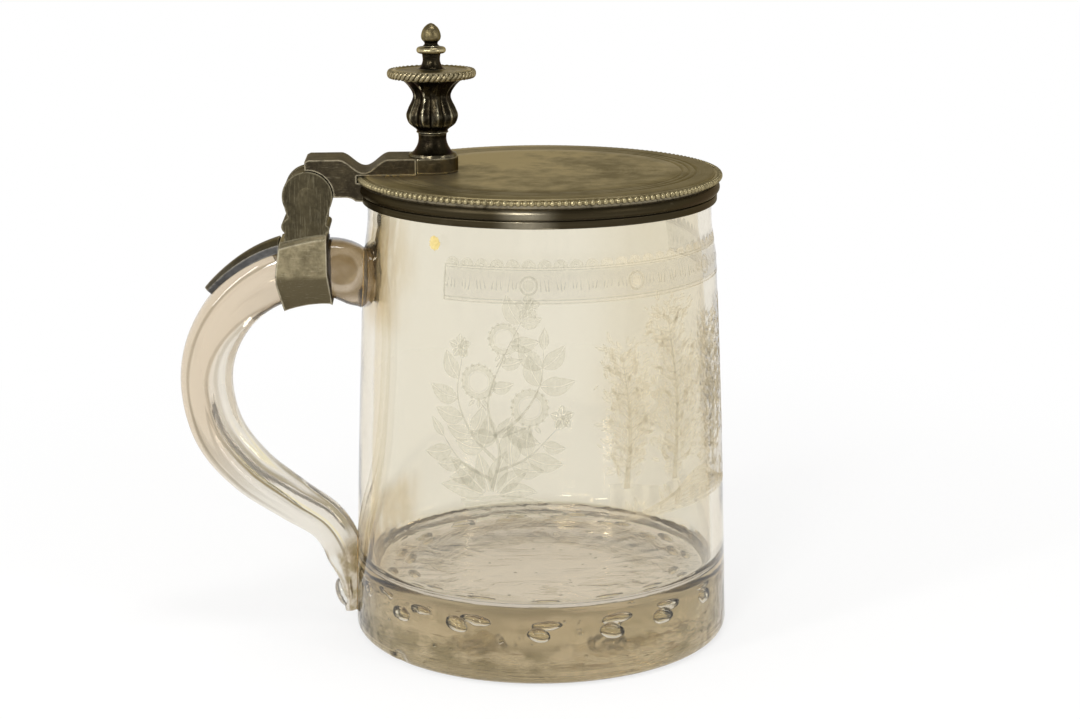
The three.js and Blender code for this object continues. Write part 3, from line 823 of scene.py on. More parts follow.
@dataclass(frozen=True)
class DrawnGlass(ClearGlass):
    """Glass drawn out into a handle: striae along it, painted shade lines along its creases with a painted
    highlight beside them, painted light on its pale sides, a darker inner side on the tail, and a
    discoloured root with a painted reflection of the collar.
    """

    tint: Colour = (0.765, 0.66, 0.52)
    outline_shade: Colour = (0.5, 0.42, 0.27)
    rim: Pair = (0.55, 1.0)
    # the colour of the painted shade lines along the handle
    crease: Colour = (0.17, 0.125, 0.045)
    pale: Colour = (0.93, 0.92, 0.87)
    gleam: Colour = (1.0, 0.9, 0.5)
    # the darker colour of the tail's inner side
    old: Colour = (0.27, 0.2, 0.085)
    root_stain_and_reflection: Colour = (0.25, 0.168, 0.068)
    root_from: Pair = (-57.5, -55.0)
    root_above: Pair = (89.5, 92.5)
    # where the painted reflection of the collar lies, and its radius
    collar_reflection: tuple[float, float, float] = (-51.8, 98.8, 4.6)

    def striae(self, paint: Paint) -> tuple[Signal, Signal, Signal]:
        """The handle's own coordinates, and the fine striae that follow them.

        Args:
            paint: the material in the making.

        Returns:
            The share of the length, how far to the outer side, and the striae.
        """
        along = paint.signal("ShaderNodeAttribute", {"attribute_name": "along"}, {}, "Fac")
        outward = paint.signal("ShaderNodeAttribute", {"attribute_name": "outward"}, {}, "Fac")
        return along, outward, paint.noise(paint.joined(along * 6.0, outward * 3.2, 0.0), 1.0, 4.0, 0.6)

    def colour(self, paint: Paint, place: bpy.types.NodeSocket) -> Feed:
        """The tint with painted shade lines and a painted highlight along the handle, painted light on its
        pale sides, and at the root a brown discolouring with a painted reflection of the collar.

        Args:
            paint: the material in the making.
            place: the coordinates in millimetres.

        Returns:
            The output that carries the colour.
        """
        turned = paint.facing()
        # painted shade: the tint darkens towards the outline, on top of the volume's own absorption
        clear = paint.blend(turned.step(*self.rim), self.tint, self.outline_shade)
        along, outward, striae = self.striae(paint)
        middle = along.step(0.2, 0.46) * 0.72 - 0.76
        offset = outward - middle + (striae - 0.5) * 0.16
        shown = along.step(0.17, 0.3) * along.step(0.9, 0.85)
        low = along.step(0.5, 0.64) * along.step(0.88, 0.84)
        # painted shade: dark lines along the creases and along the outer side, among faint real striae
        crease = abs(offset).step(0.1, 0.02) * shown * (low * 0.5 + 0.5)
        edge = abs(outward - 0.64 + (striae - 0.5) * 0.1).step(0.09, 0.02)
        edge = edge * along.step(0.1, 0.2) * along.step(0.8, 0.6) * 0.6
        smoky = striae.step(0.56, 0.74) * 0.12
        tail = along.step(0.85, 0.89)
        # painted light: the inner part of the flanks, the lower bow and the tail's outer side are made pale
        inner = (offset.step(0.0, -0.14) * 0.75).larger(along.step(0.5, 0.7) * 0.8) * shown
        painted_light_sides = paint.blend((tail * outward.step(0.2, 0.45)).larger(inner), clear, self.pale)
        # darker in mottled patches on the tail's inner side
        tail_inner_dark = tail * outward.step(0.5, 0.2) * (paint.noise(place, 0.45, 4.0).step(0.35, 0.62) * 0.7 + 0.3)
        painted_light_sides = paint.blend(tail_inner_dark.limited(), painted_light_sides, self.old)
        shade_lines_and_striae = paint.blend(crease.larger(edge).larger(smoky), painted_light_sides, self.crease)
        # painted highlight: a bright line beside the lower crease
        lit = paint.blend(abs(offset + 0.16).step(0.07, 0.02) * low * 0.9, shade_lines_and_striae, self.gleam)
        x, _, z = paint.parts(place)
        # the root is discoloured brown; a painted reflection of the collar makes a paler ring round a darker
        # middle
        at_x, at_z, reach = self.collar_reflection
        away = (x - at_x).span(z - at_z)
        cloud = paint.noise(place, 0.22, 3.0)
        ring = away.step(reach - 0.8, reach) * away.step(reach + 2.2, reach + 0.8) * 0.45
        amount = x.step(*self.root_from) * z.step(*self.root_above) * (cloud * 0.8 + 0.5 - ring)
        return paint.blend(amount.limited(), lit, self.root_stain_and_reflection)

    def height(self, paint: Paint, place: bpy.types.NodeSocket) -> Signal:
        """The unevenness, which follows the handle.

        Args:
            paint: the material in the making.
            place: the coordinates in millimetres.

        Returns:
            The height as a share of the waves' depth.
        """
        return self.striae(paint)[2] + paint.noise(place, 0.09, 1.0) * 2.0


@dataclass(frozen=True)
class AgedSilver:
    """Old silver: tarnish that stays in the hollows, edges worn bright and made brighter still as painted
    highlights, painted highlights and painted shade where a finish asks for them, scratches and fine pits.
    """

    name: str
    tarnish: Colour
    silver: Colour
    rubbed_and_highlight: Colour
    cover: float = 0.5
    rough: float = 0.3
    marks: Marks = Marks.CROSSED
    scratches: float = 0.5
    pits: float = 0.5
    patch: float = 0.14
    sheen: Colour = (0.5, 0.43, 0.28)
    edges: Edges = Edges.FINE_MESH
    rub_and_highlight: Pair = (0.515, 0.575)
    border: Pair | None = None
    painted_shade_below: Pair | None = None
    painted_highlights: tuple[tuple[float, float, float], ...] = ()
    fade: float = 0.2

    def wear(self, paint: Paint, place: bpy.types.NodeSocket) -> Signal:
        """The scratches of this finish.

        Args:
            paint: the material in the making.
            place: the coordinates in millimetres.

        Returns:
            1 on the scratches and 0 off them.
        """
        if self.marks is Marks.UPRIGHT:
            fine = paint.streaks(place, (0.0, 0.3, 0.0), (2.6, 2.6, 0.2), 0.54)
            broad = paint.streaks(place, (0.0, -0.35, 0.0), (1.2, 1.2, 0.14), 0.56)
            return fine * 0.6 + broad * 0.4
        if self.marks is Marks.TURNED:
            x, y, z = paint.parts(place)
            radius = x.span(y)
            around = y.maths("ARCTAN2", x)
            rings = paint.noise(paint.joined(radius * 2.2, around * 1.3, z * 2.2), 1.0, 4.0, 0.65)
            across = paint.streaks(place, (0.0, 0.0, 0.5), (0.3, 3.4, 1.0), 0.62)
            return rings.step(0.42, 0.72) * 0.75 + across * 0.4
        one = paint.streaks(place, (0.3, 0.5, 0.6), (0.25, 4.2, 4.2), 0.6)
        two = paint.streaks(place, (-0.4, -0.8, 0.2), (4.4, 0.3, 3.6), 0.61)
        return one.larger(two * 0.8)

    def rubbed_and_highlit_edges(self, paint: Paint) -> tuple[Signal, Signal]:
        """Where edges stand out to be worn bright and to carry a painted highlight, and where tarnish stays
        in the hollows.

        Args:
            paint: the material in the making.

        Returns:
            The edges and the hollows, each from 0 to 1.
        """
        if self.edges is Edges.ROUNDED:
            true = paint.node("ShaderNodeNewGeometry", {}, {}).outputs["Normal"]
            soft = paint.node("ShaderNodeBevel", {"samples": 6}, {"Radius": 0.7 * MM}).outputs[0]
            level = paint.node("ShaderNodeVectorMath", {"operation": "DOT_PRODUCT"}, {0: true, 1: soft})
            turned = Signal(paint, level.outputs["Value"])
            return turned.step(0.997, 0.96), turned.step(0.8, 0.5)
        bend = paint.signal("ShaderNodeNewGeometry", {}, {}, "Pointiness")
        return bend.step(*self.rub_and_highlight), bend.step(0.49, 0.43)

    def material(self) -> bpy.types.Material:
        """Makes the material.

        Returns:
            The finished material.
        """
        paint = Paint(self.name)
        place = paint.place()
        patches = paint.noise(place, self.patch, 5.0, 0.6)
        cloud = paint.noise(place, self.patch * 5, 4.0, 0.6)
        grain = paint.noise(place, 7.0, 3.0, 0.6)
        lines = self.wear(paint, place) * self.scratches
        edge, hollow = self.rubbed_and_highlit_edges(paint)
        edge = edge * cloud.step(0.2, 0.55)
        shown = (patches * 0.6 + cloud * 0.4).step(self.cover - self.fade, self.cover + self.fade)
        x, y, z = paint.parts(place)
        if self.border is not None:
            shown = shown * (1 - x.span(y).step(*self.border) * 0.75)
        # painted shade: below a given height the silver is all tarnish
        if self.painted_shade_below is not None:
            shown = shown * (1 - z.step(*self.painted_shade_below))
        # painted highlights: clean silver shown round given spots
        for at_x, at_y, reach in self.painted_highlights:
            near = (x - at_x).span(y - at_y).step(reach, 0.0)
            shown = (shown + near * (cloud * 0.8 + 0.4)).limited()
        clean = paint.blend(shown, self.tarnish, self.silver)
        worn = paint.blend((lines * (shown * 0.5 + 0.5)).limited(), clean, self.rubbed_and_highlight)
        # edges worn bright, made brighter still as painted highlights along them
        bright = paint.blend((edge * 0.85).limited(), worn, self.rubbed_and_highlight)
        dark = tuple(0.4 * part for part in self.tarnish)
        base = paint.blend(hollow.limited(), bright, dark)
        rough = (grain * 0.14 + self.rough + (1 - shown) * 0.1 - edge * 0.08).limited()
        height = grain * self.pits + lines * -0.4 + cloud * 0.6
        shader = paint.surface(
            {
                "Base Color": base, "Metallic": (shown * 0.15 + 0.85).limited(), "Roughness": rough,
                "Specular Tint": self.sheen, "Normal": paint.bump(height, 0.04)
            }
        )
        return paint.done(shader.outputs[0])


@dataclass(frozen=True)
class Frost:
    """Wheel-cut glass: a thin matt skin, with the wheel's strokes in it."""

    name: str
    colour: Colour = (0.49, 0.46, 0.34)
    warmer: Colour = (0.84, 0.725, 0.5)
    warm_from: Pair = (5.0, 20.0)
    shade: Colour = (0.3, 0.27, 0.2)
    cover: float = 0.2
    stroke: float = 2.0

    def material(self) -> bpy.types.Material:
        """Makes the material.

        Returns:
            The finished material.
        """
        paint = Paint(self.name)
        place = paint.place()
        strokes = paint.streaks(place, (0.0, 0.7, 0.0), (self.stroke, self.stroke, 0.5), 0.48)
        soft = paint.noise(place, 0.5, 3.0)
        turned = paint.facing()
        alpha = (strokes * 0.25 + soft * 0.7 + 0.45) * (turned * 0.16 + self.cover)
        colour = paint.blend(paint.parts(place)[0].step(*self.warm_from), self.colour, self.warmer)
        shader = paint.surface(
            {
                "Base Color": paint.blend(soft * 0.3, colour, self.shade), "Roughness": 0.75,
                "Alpha": alpha.limited(), "Normal": paint.bump(strokes, 0.03)
            }
        )
        return paint.done(shader.outputs[0])


@dataclass(frozen=True)
class DryDirt:
    """Cement, old dirt or a dried spot: rough and uneven in colour."""

    name: str
    dark: Colour
    light: Colour
    grain: float = 3.0
    alpha: float = 1.0

    def material(self) -> bpy.types.Material:
        """Makes the material.

        Returns:
            The finished material.
        """
        paint = Paint(self.name)
        place = paint.place()
        lumps = paint.noise(place, self.grain, 5.0, 0.65)
        spread = paint.noise(place, self.grain * 0.25, 3.0)
        base = paint.blend((lumps * 0.6 + spread * 0.4).step(0.35, 0.65), self.dark, self.light)
        inputs: dict[str | int, Feed] = {
            "Base Color": base, "Roughness": (lumps * 0.3 + 0.6).limited(),
            "Normal": paint.bump(lumps, 0.08)
        }
        if self.alpha < 1:
            inputs["Alpha"] = (lumps * 0.5 + self.alpha - 0.25).limited()
        return paint.done(paint.surface(inputs).outputs[0])


@dataclass(frozen=True)
class MugForm:
    """The mug's outside, in millimetres."""

    height: float = 121.7
    foot_radius: float = 50.19
    shoulder_radius: float = 46.5
    rim_radius: float = 44.9
    swell: float = 0.3
    shoulder_drop: float = 23.7
    neck: float = 15.0
    foot_round: float = 2.5

    def radius(self, z: float) -> float:
        """The outside's radius at a height.

        Args:
            z: the height above the table.

        Returns:
            The radius there.
        """
        shoulder = self.height - self.shoulder_drop
        if z < shoulder:
            t = clamp(z / shoulder)
            return mix(self.foot_radius, self.shoulder_radius, t) + self.swell * math.sin(math.pi * t)
        return mix(self.shoulder_radius, self.rim_radius, ease((z - shoulder) / self.neck))


@dataclass(frozen=True)
class BowForm:
    """The bow handle's centre line and sections, in millimetres and shares."""

    mug: MugForm = field(default_factory=MugForm)
    reach: float = 40.4
    top_drop: float = 23.9
    low: float = 4.0
    line: tuple[Pair, ...] = (
        (-0.06, 0.95), (0.05, 0.975), (0.16, 1.005), (0.4, 1.0), (0.63, 0.966), (0.84, 0.892),
        (0.973, 0.785), (1.0, 0.67), (0.912, 0.533), (0.709, 0.423), (0.431, 0.333), (0.198, 0.262),
        (0.09, 0.18), (0.03, 0.0)
    )
    sizes: tuple[tuple[float, float, float], ...] = (
        (0.0, 12.4, 13.6), (0.03, 14.2, 12.8), (0.055, 15.8, 12.6), (0.08, 15.3, 12.6), (0.15, 14.62, 12.6),
        (0.28, 13.8, 12.4), (0.52, 13.8, 12.4), (0.88, 10.3, 11.23), (0.95, 5.2, 9.4), (1.0, 4.2, 6.24)
    )
    groove: tuple[float, float, float] = (1.9, 0.34, 0.94)
    mounted: float = 0.42
    charted_from: float = -40.0
    glass_section: tuple[tuple[float, float, float], ...] = (
        (0.5, 1.0, 0.0), (0.87, 0.8, 0.0), (1.0, 0.45, 0.0), (1.0, 0.15, 0.0), (1.0, -0.02, 1.0),
        (0.96, -0.16, 0.1), (0.64, -0.75, 0.0), (0.32, -1.0, 0.0)
    )
    band_section: tuple[Pair, ...] = ((0.8, 1.07), (1.0, 0.91), (1.0, -0.05), (0.46, -1.0))

    def path(self) -> list[Vector]:
        """The centre line as points a fraction of a millimetre apart.

        Returns:
            The points, from inside the mug's wall to the tail.
        """
        points = []
        for out, up in self.line:
            z = mix(self.low, self.mug.height - self.top_drop, up)
            points.append((-(self.mug.radius(z) + out * self.reach), 0.0, z))
        return smooth_line(points, 60)

    def size(self, share: float) -> Pair:
        """Half the thickness and half the width at a share of the length.

        Args:
            share: the share of the length, from 0 to 1.

        Returns:
            Half the thickness and half the width.
        """
        for (a, thick_a, wide_a), (b, thick_b, wide_b) in zip(self.sizes, self.sizes[1:]):
            if share <= b:
                t = ease((share - a) / (b - a))
                return mix(thick_a, thick_b, t) / 2, mix(wide_a, wide_b, t) / 2
        return self.sizes[-1][1] / 2, self.sizes[-1][2] / 2


class Bow:
    """The handle's centre line measured out, with which the glass, the collar and the strap are drawn."""

    def __init__(self, form: BowForm) -> None:
        """Measures the line.

        Args:
            form: the handle's sizes.
        """
        self.form = form
        self.points = form.path()
        self.lengths = [0.0]
        for a, b in zip(self.points, self.points[1:]):
            self.lengths.append(self.lengths[-1] + (b - a).length)
        self.length = self.lengths[-1]

    def at(self, share: float) -> tuple[Vector, Vector]:
        """A point of the line and its outward direction, at a share of the length.

        Args:
            share: the share of the length, from 0 to 1.

        Returns:
            The point and the direction.
        """
        target = clamp(share) * self.length
        low, high = 0, len(self.lengths) - 1
        while high - low > 1:
            middle = (low + high) // 2
            low, high = (middle, high) if self.lengths[middle] <= target else (low, middle)
        a, b = self.points[low], self.points[high]
        along = (b - a).normalized()
        t = (target - self.lengths[low]) / (self.lengths[high] - self.lengths[low])
        return a.lerp(b, t), Vector((along.z, 0.0, -along.x))

    def pressed(self, share: float) -> float:
        """The depth of the groove in the flanks at a share of the length."""
        depth, start, end = self.form.groove
        return depth * math.sin(math.pi * clamp((share - start) / (end - start))) ** 2

    def section(self, share: float, outline: Sequence[Sequence[float]], growth: float) -> list[Vector]:
        """A ring round the line.

        Args:
            share: the share of the length at which it lies.
            outline: shares of the half width and half thickness, and of the groove's depth where it has one.
            growth: how far outside the glass it lies.

        Returns:
            The points of the ring.
        """
        centre, out = self.at(share)
        half, side = self.form.size(share)
        depth = self.pressed(share)
        ring = []
        for across, outward, *pressed in outline:
            y = across * (side + growth) - math.copysign(depth * sum(pressed), across)
            ring.append(centre + out * (outward * (half + growth)) + Vector((0.0, y, 0.0)))
        return ring

    @staticmethod
    def mirrored(section: Sequence[Sequence[float]], times: int) -> list[tuple[float, ...]]:
        """A whole outline from its right half, with its corners rounded."""
        return rounded([*section, *[(-first, *rest) for first, *rest in reversed(section)]], times)

    def chart(self, piece: Workpiece) -> Workpiece:
        """Notes at every point near the handle how far along it that lies, and how far to its outer side.

        Args:
            piece: a piece that has the handle in it.

        Returns:
            The piece, with the attributes "along" and "outward" for a finish to read.
        """
        along = piece.bm.verts.layers.float.new("along")
        outward = piece.bm.verts.layers.float.new("outward")
        tree = KDTree(len(self.points))
        for i, point in enumerate(self.points):
            tree.insert(point, i)
        tree.balance()
        for v in piece.bm.verts:
            if v.co.x > self.form.charted_from:
                continue
            share = self.lengths[tree.find(v.co)[1]] / self.length
            centre, out = self.at(share)
            v[along] = share
            v[outward] = (v.co - centre).dot(out) / self.form.size(share)[0]
        return piece

    def skin(
        self, section: Sequence[Sequence[float]], growth: float, start: float, end: float, steps: int,
        capped: bool = True, softened: int = 2
    ) -> Workpiece:
        """A skin along a stretch of the line.

        Args:
            section: the right half of the outline.
            growth: how far outside the glass it lies.
            start: the share of the length at which it starts.
            end: the share at which it ends.
            steps: the number of steps along it.
            capped: whether its ends are closed.
            softened: how many times the outline's corners are cut.

        Returns:
            The skin.
        """
        outline = self.mirrored(section, softened)
        rings = [self.section(mix(start, end, i / steps), outline, growth) for i in range(steps + 1)]
        return Workpiece.lofted(rings, capped)

    def upper_skin(
        self, section: Sequence[Sequence[float]], growth: float, capped: bool, softened: int
    ) -> Workpiece:
        """A skin along the upper reach of the line, where the mount sits."""
        return self.skin(section, growth, 0.0, self.form.mounted, 60, capped, softened)

    def share_at(self, x: float) -> float:
        """The first share of the length at which the line passes a place along X."""
        passed = next(i for i, p in enumerate(self.points) if p.x < x)
        return self.lengths[passed] / self.length


@dataclass
class GlassMug:
    """The glass: the mug, its cut base and bubbles, and the handle that was put on hot."""

    form: MugForm
    bow: Bow
    wall: float = 3.5
    floor: float = 19.0
    floor_round: float = 3.5
    hub: float = 22.5
    rays: int = 36
    ray_end: float = 40.5
    ray_depth: float = 0.1
    steps: int = 288
    chip_turn: float = -140.0
    chip_size: float = 5.2
    chip_depth: float = 1.7
    curl_at: Colour = (-53.6, -0.6, 8.6)
    curl_tilt: float = -0.3
    curl_size: Colour = (2.1, 3.6, 4.1)
    bubble_ring: float = 40.0
    bubble_height: float = 11.6
    seeds: int = 60
    bubble_turns: tuple[float, ...] = (
        -56, -31, -4.5, 22, 43, 66, 92, 116, 141, 163, 189, 211, 237, 260, 282
    )
    glass: ClearGlass = field(default_factory=lambda: ClearGlass("mug_glass"))
    handle_glass: DrawnGlass = field(
        default_factory=lambda: DrawnGlass("handle_glass", waves=0.045, haze=0.14)
    )
    base_glass: GroundGlass = field(default_factory=lambda: GroundGlass("base_glass"))
    floor_glass: GroundGlass = field(
        default_factory=lambda: GroundGlass("floor_glass", rough=0.03, haze=0.05, waves=0.1, strength=0.6)
    )
    dirt: DryDirt = field(
        default_factory=lambda: DryDirt("seam_dirt", (0.2, 0.11, 0.035), (0.45, 0.3, 0.12))
    )

    def vessel(self) -> Workpiece:
        """The mug, turned, with the star cut into its base and the chip out of its lower edge.

        Returns:
            The closed glass, with its inside.
        """
        form = self.form
        low = self.floor + self.floor_round
        top = form.height
        heights = [3.4, 4.4, *(mix(form.foot_round, top - self.wall / 2, i / 40) for i in range(1, 40))]
        inner = [z for z in heights if z > low]
        rays = [mix(self.hub, self.ray_end, i / 9) for i in range(10)]
        rings = [(r, 0.3) for r in (0.0, 8.0, 15.0, *rays, 42.0)]
        foot = form.radius(form.foot_round) - form.foot_round
        profile = [
            *rings, *arc(foot, form.foot_round, form.foot_round, -0.5, 0, 6),
            *[(form.radius(z), z) for z in heights],
            *arc(form.rim_radius - self.wall / 2, top - self.wall / 2, self.wall / 2, 0, 1, 10),
            *[(form.radius(z) - self.wall, z) for z in reversed(inner)],
            *arc(form.radius(low) - self.wall - self.floor_round, low, self.floor_round, 0, -0.5, 8),
            (28.0, self.floor - 0.3), (14.0, self.floor - 0.7), (0.0, self.floor - 0.9)
        ]
        return Workpiece.turned(profile, self.steps).shaped(self.star).shaped(self.chip)

    def star(self, point: Vector) -> Vector:
        """Cuts the base's rays: deep in the middle of each, and shallow towards its pointed end.

        Args:
            point: a place on the base.

        Returns:
            Where that place goes.
        """
        r = math.hypot(point.x, point.y)
        if point.z > 1 or not self.hub < r < self.ray_end:
            return point
        along = clamp((r - self.hub) / (self.ray_end - self.hub))
        across = abs((math.atan2(point.y, point.x) / TAU * self.rays) % 1 - 0.5) * 2
        leaf = math.sin(math.pi * along) ** 0.6
        uneven = 0.65 + 0.35 * math.sin(5.3 * math.atan2(point.y, point.x) + 0.3 * r)
        depth = self.ray_depth * uneven * clamp(1 - across / max(0.95 * leaf, 0.01))
        return Vector((point.x, point.y, point.z + depth))

    def chip(self, point: Vector) -> Vector:
        """Scoops a small chip out of the foot's lower edge.

        Args:
            point: a point of the turned mug.

        Returns:
            Where the point lies once the chip is out.
        """
        turn = math.radians(self.chip_turn)
        out = Vector((math.cos(turn), math.sin(turn), 0))
        room = self.chip_size**2 - (point - out * point.dot(out)).length_squared
        reach = point.dot(out) - (self.form.foot_radius + self.chip_size - self.chip_depth)
        if room <= 0 or point.dot(out) < self.ray_end or reach < -math.sqrt(room):
            return point
        return point - out * (reach + math.sqrt(room))

    def bubbles(self) -> Workpiece:
        """The ring of long bubbles in the foot, as hollows with their faces turned inwards.

        Returns:
            All the bubbles as one piece.
        """
        chance = random.Random(7)
        piece = Workpiece()
        kinds = ((0.0, 0.0, 1.0, (1.6, 3.4, 2.0)), (5.5, -3.5, 1.35, (1.7, 3.7, 1.2)))
        for degrees in self.bubble_turns:
            for ahead, inward, rise, (deep, long, tall) in kinds:
                angle = math.radians(degrees - 90 + ahead + chance.uniform(-1.5, 1.5))
                size = chance.uniform(0.85, 1.2)
                r = self.bubble_ring + inward + chance.uniform(-1, 1)
                height = self.bubble_height * rise**0.4 + chance.uniform(-0.8, 0.8)
                matrix = Matrix.Rotation(angle, 4, "Z") @ Matrix.Translation((r, 0, height))
                matrix @= Matrix.Rotation(chance.uniform(-0.3, 0.3), 4, "X")
                matrix @= Matrix.Diagonal((deep * size, long * size, tall * size, 1))
                piece.ball(matrix, 24, 14)
        for _ in range(self.seeds):
            angle = chance.uniform(0, TAU)
            spot = off((0, 0), chance.uniform(8, 47), angle)
            matrix = Matrix.Translation((*spot, chance.uniform(4, 16)))
            piece.ball(matrix, 10, 6, chance.uniform(0.2, 0.5))
        bmesh.ops.recalc_face_normals(piece.bm, faces=piece.bm.faces)
        bmesh.ops.reverse_faces(piece.bm, faces=piece.bm.faces)
        return piece

    def handle(self) -> Workpiece:
        """The solid handle with its drawn-out, curled tail.

        Returns:
            The handle, cut off inside the mug's wall.
        """
        solid = self.bow.skin(self.bow.form.glass_section, -0.06, 0.0, 1.0, 150)
        tilt = Matrix.Rotation(self.curl_tilt, 4, "Y")
        matrix = Matrix.Translation(self.curl_at) @ tilt @ Matrix.Diagonal((*self.curl_size, 1))
        solid.joined(Workpiece().ball(matrix, 32, 20), Join.ADD)
        return solid.joined(Workpiece.rod(self.form.rim_radius, -5, self.form.height + 5, 192), Join.CUT)

    def seam(self, glass: Workpiece) -> list[list[Vector]]:
        """The lines where handle and mug meet, from the faces' material numbers.

        Args:
            glass: the joined glass, with a material number for the mug and one for the handle.

        Returns:
            A list of lines, each a list of points.
        """
        edges = {e for e in glass.bm.edges if len({f.material_index for f in e.link_faces}) > 1}
        lines = []
        while edges:
            edge = edges.pop()
            line = [edge.verts[0].co.copy(), edge.verts[1].co.copy()]
            tip = edge.verts[1]
            while True:
                following = next((e for e in tip.link_edges if e in edges), None)
                if following is None:
                    break
                edges.remove(following)
                tip = following.other_vert(tip)
                line.append(tip.co.copy())
            if len(line) > 12:
                lines.append(line)
        return lines

    def dirt_bead(self, lines: Sequence[Sequence[Vector]]) -> Workpiece:
        """A thin bead of old dirt along each seam.

        Args:
            lines: the seam's lines.

        Returns:
            The beads as one piece.
        """
        piece = Workpiece()
        chance = random.Random(3)
        for line in lines:
            kept = [line[0]]
            for point in line[1:]:
                if (point - kept[-1]).length > 0.7:
                    kept.append(point)
            rings = []
            for i, point in enumerate(kept):
                along = (kept[(i + 1) % len(kept)] - kept[i - 1]).normalized()
                outward = Vector((point.x, point.y, 0)).normalized()
                side = along.cross(outward).normalized()
                size = chance.uniform(0.1, 0.22)
                turns = [TAU * k / 8 for k in range(8)]
                rings.append([point + (side * math.cos(a) + outward * math.sin(a)) * size for a in turns])
            rings.append(rings[0])
            piece.add(Workpiece.lofted(rings, capped=False).cleaned())
        return piece

    def build(self) -> None:
        """Makes the glass and the dirt in its seam."""
        glass = self.vessel().marked(0).joined(self.handle().marked(1), Join.ADD)
        lines = self.seam(glass)
        floor_top = self.floor + 0.5
        for face in glass.bm.faces:
            middle = face.calc_center_median()
            if middle.z < 1 and face.normal.z < -0.7:
                face.material_index = 2
            elif 1 < middle.z < floor_top and math.hypot(middle.x, middle.y) < self.form.rim_radius + 2:
                face.material_index = 3
        self.bow.chart(glass).add(self.bubbles().marked(0))
        materials = [
            finish.material()
            for finish in (self.glass, self.handle_glass, self.base_glass, self.floor_glass)
        ]
        glass.finish("mug_glass", materials, Body.MUG, "glass", ["glass_body", "glass_handle"], sharp=32)
        self.dirt_bead(lines).finish("seam_dirt", [self.dirt.material()], Body.MUG, "packing")


class Sheet:
    """Strips and rounds drawn flat, which all become faces at once."""

    def __init__(self) -> None:
        """Starts with nothing drawn."""
        self.piece = Workpiece()
        self.across: dict[bmesh.types.BMVert, Vector] = {}
        self.rounds: list[tuple[Pair, float]] = []

    def strip(self, line: Sequence[Vector], wide: Callable[[float], Pair]) -> None:
        """Lays a strip along a line.

        Args:
            line: the points of the line.
            wide: how far the strip's edges lie to the left and right at each share of the line.
        """
        steps = len(line) - 1
        bm = self.piece.bm
        before = None
        for i, point in enumerate(line):
            along = (line[min(i + 1, steps)] - line[max(i - 1, 0)]).normalized()
            off = Vector((-along.y, along.x))
            left, right = wide(i / steps)
            vert = bm.verts.new((*(point + off * left), 0))
            self.across[vert] = point + off * right
            if before is not None:
                bm.edges.new((before, vert))
            before = vert

    def filled(self) -> Workpiece:
        """Draws every strip's one edge out to its other edge, and adds the rounds.

        Returns:
            The flat mesh.
        """
        bm = self.piece.bm
        made = bmesh.ops.extrude_edge_only(bm, edges=bm.edges[:])["geom"]
        for vert in verts_of(made):
            start = next(e.other_vert(vert) for e in vert.link_edges if e.other_vert(vert) in self.across)
            vert.co = (*self.across[start], 0)
        for at, radius in self.rounds:
            matrix = Matrix.Translation((*at, 0))
            bmesh.ops.create_circle(
                bm, cap_ends=True, cap_tris=True, segments=14, radius=radius, matrix=matrix
            )
        return self.piece


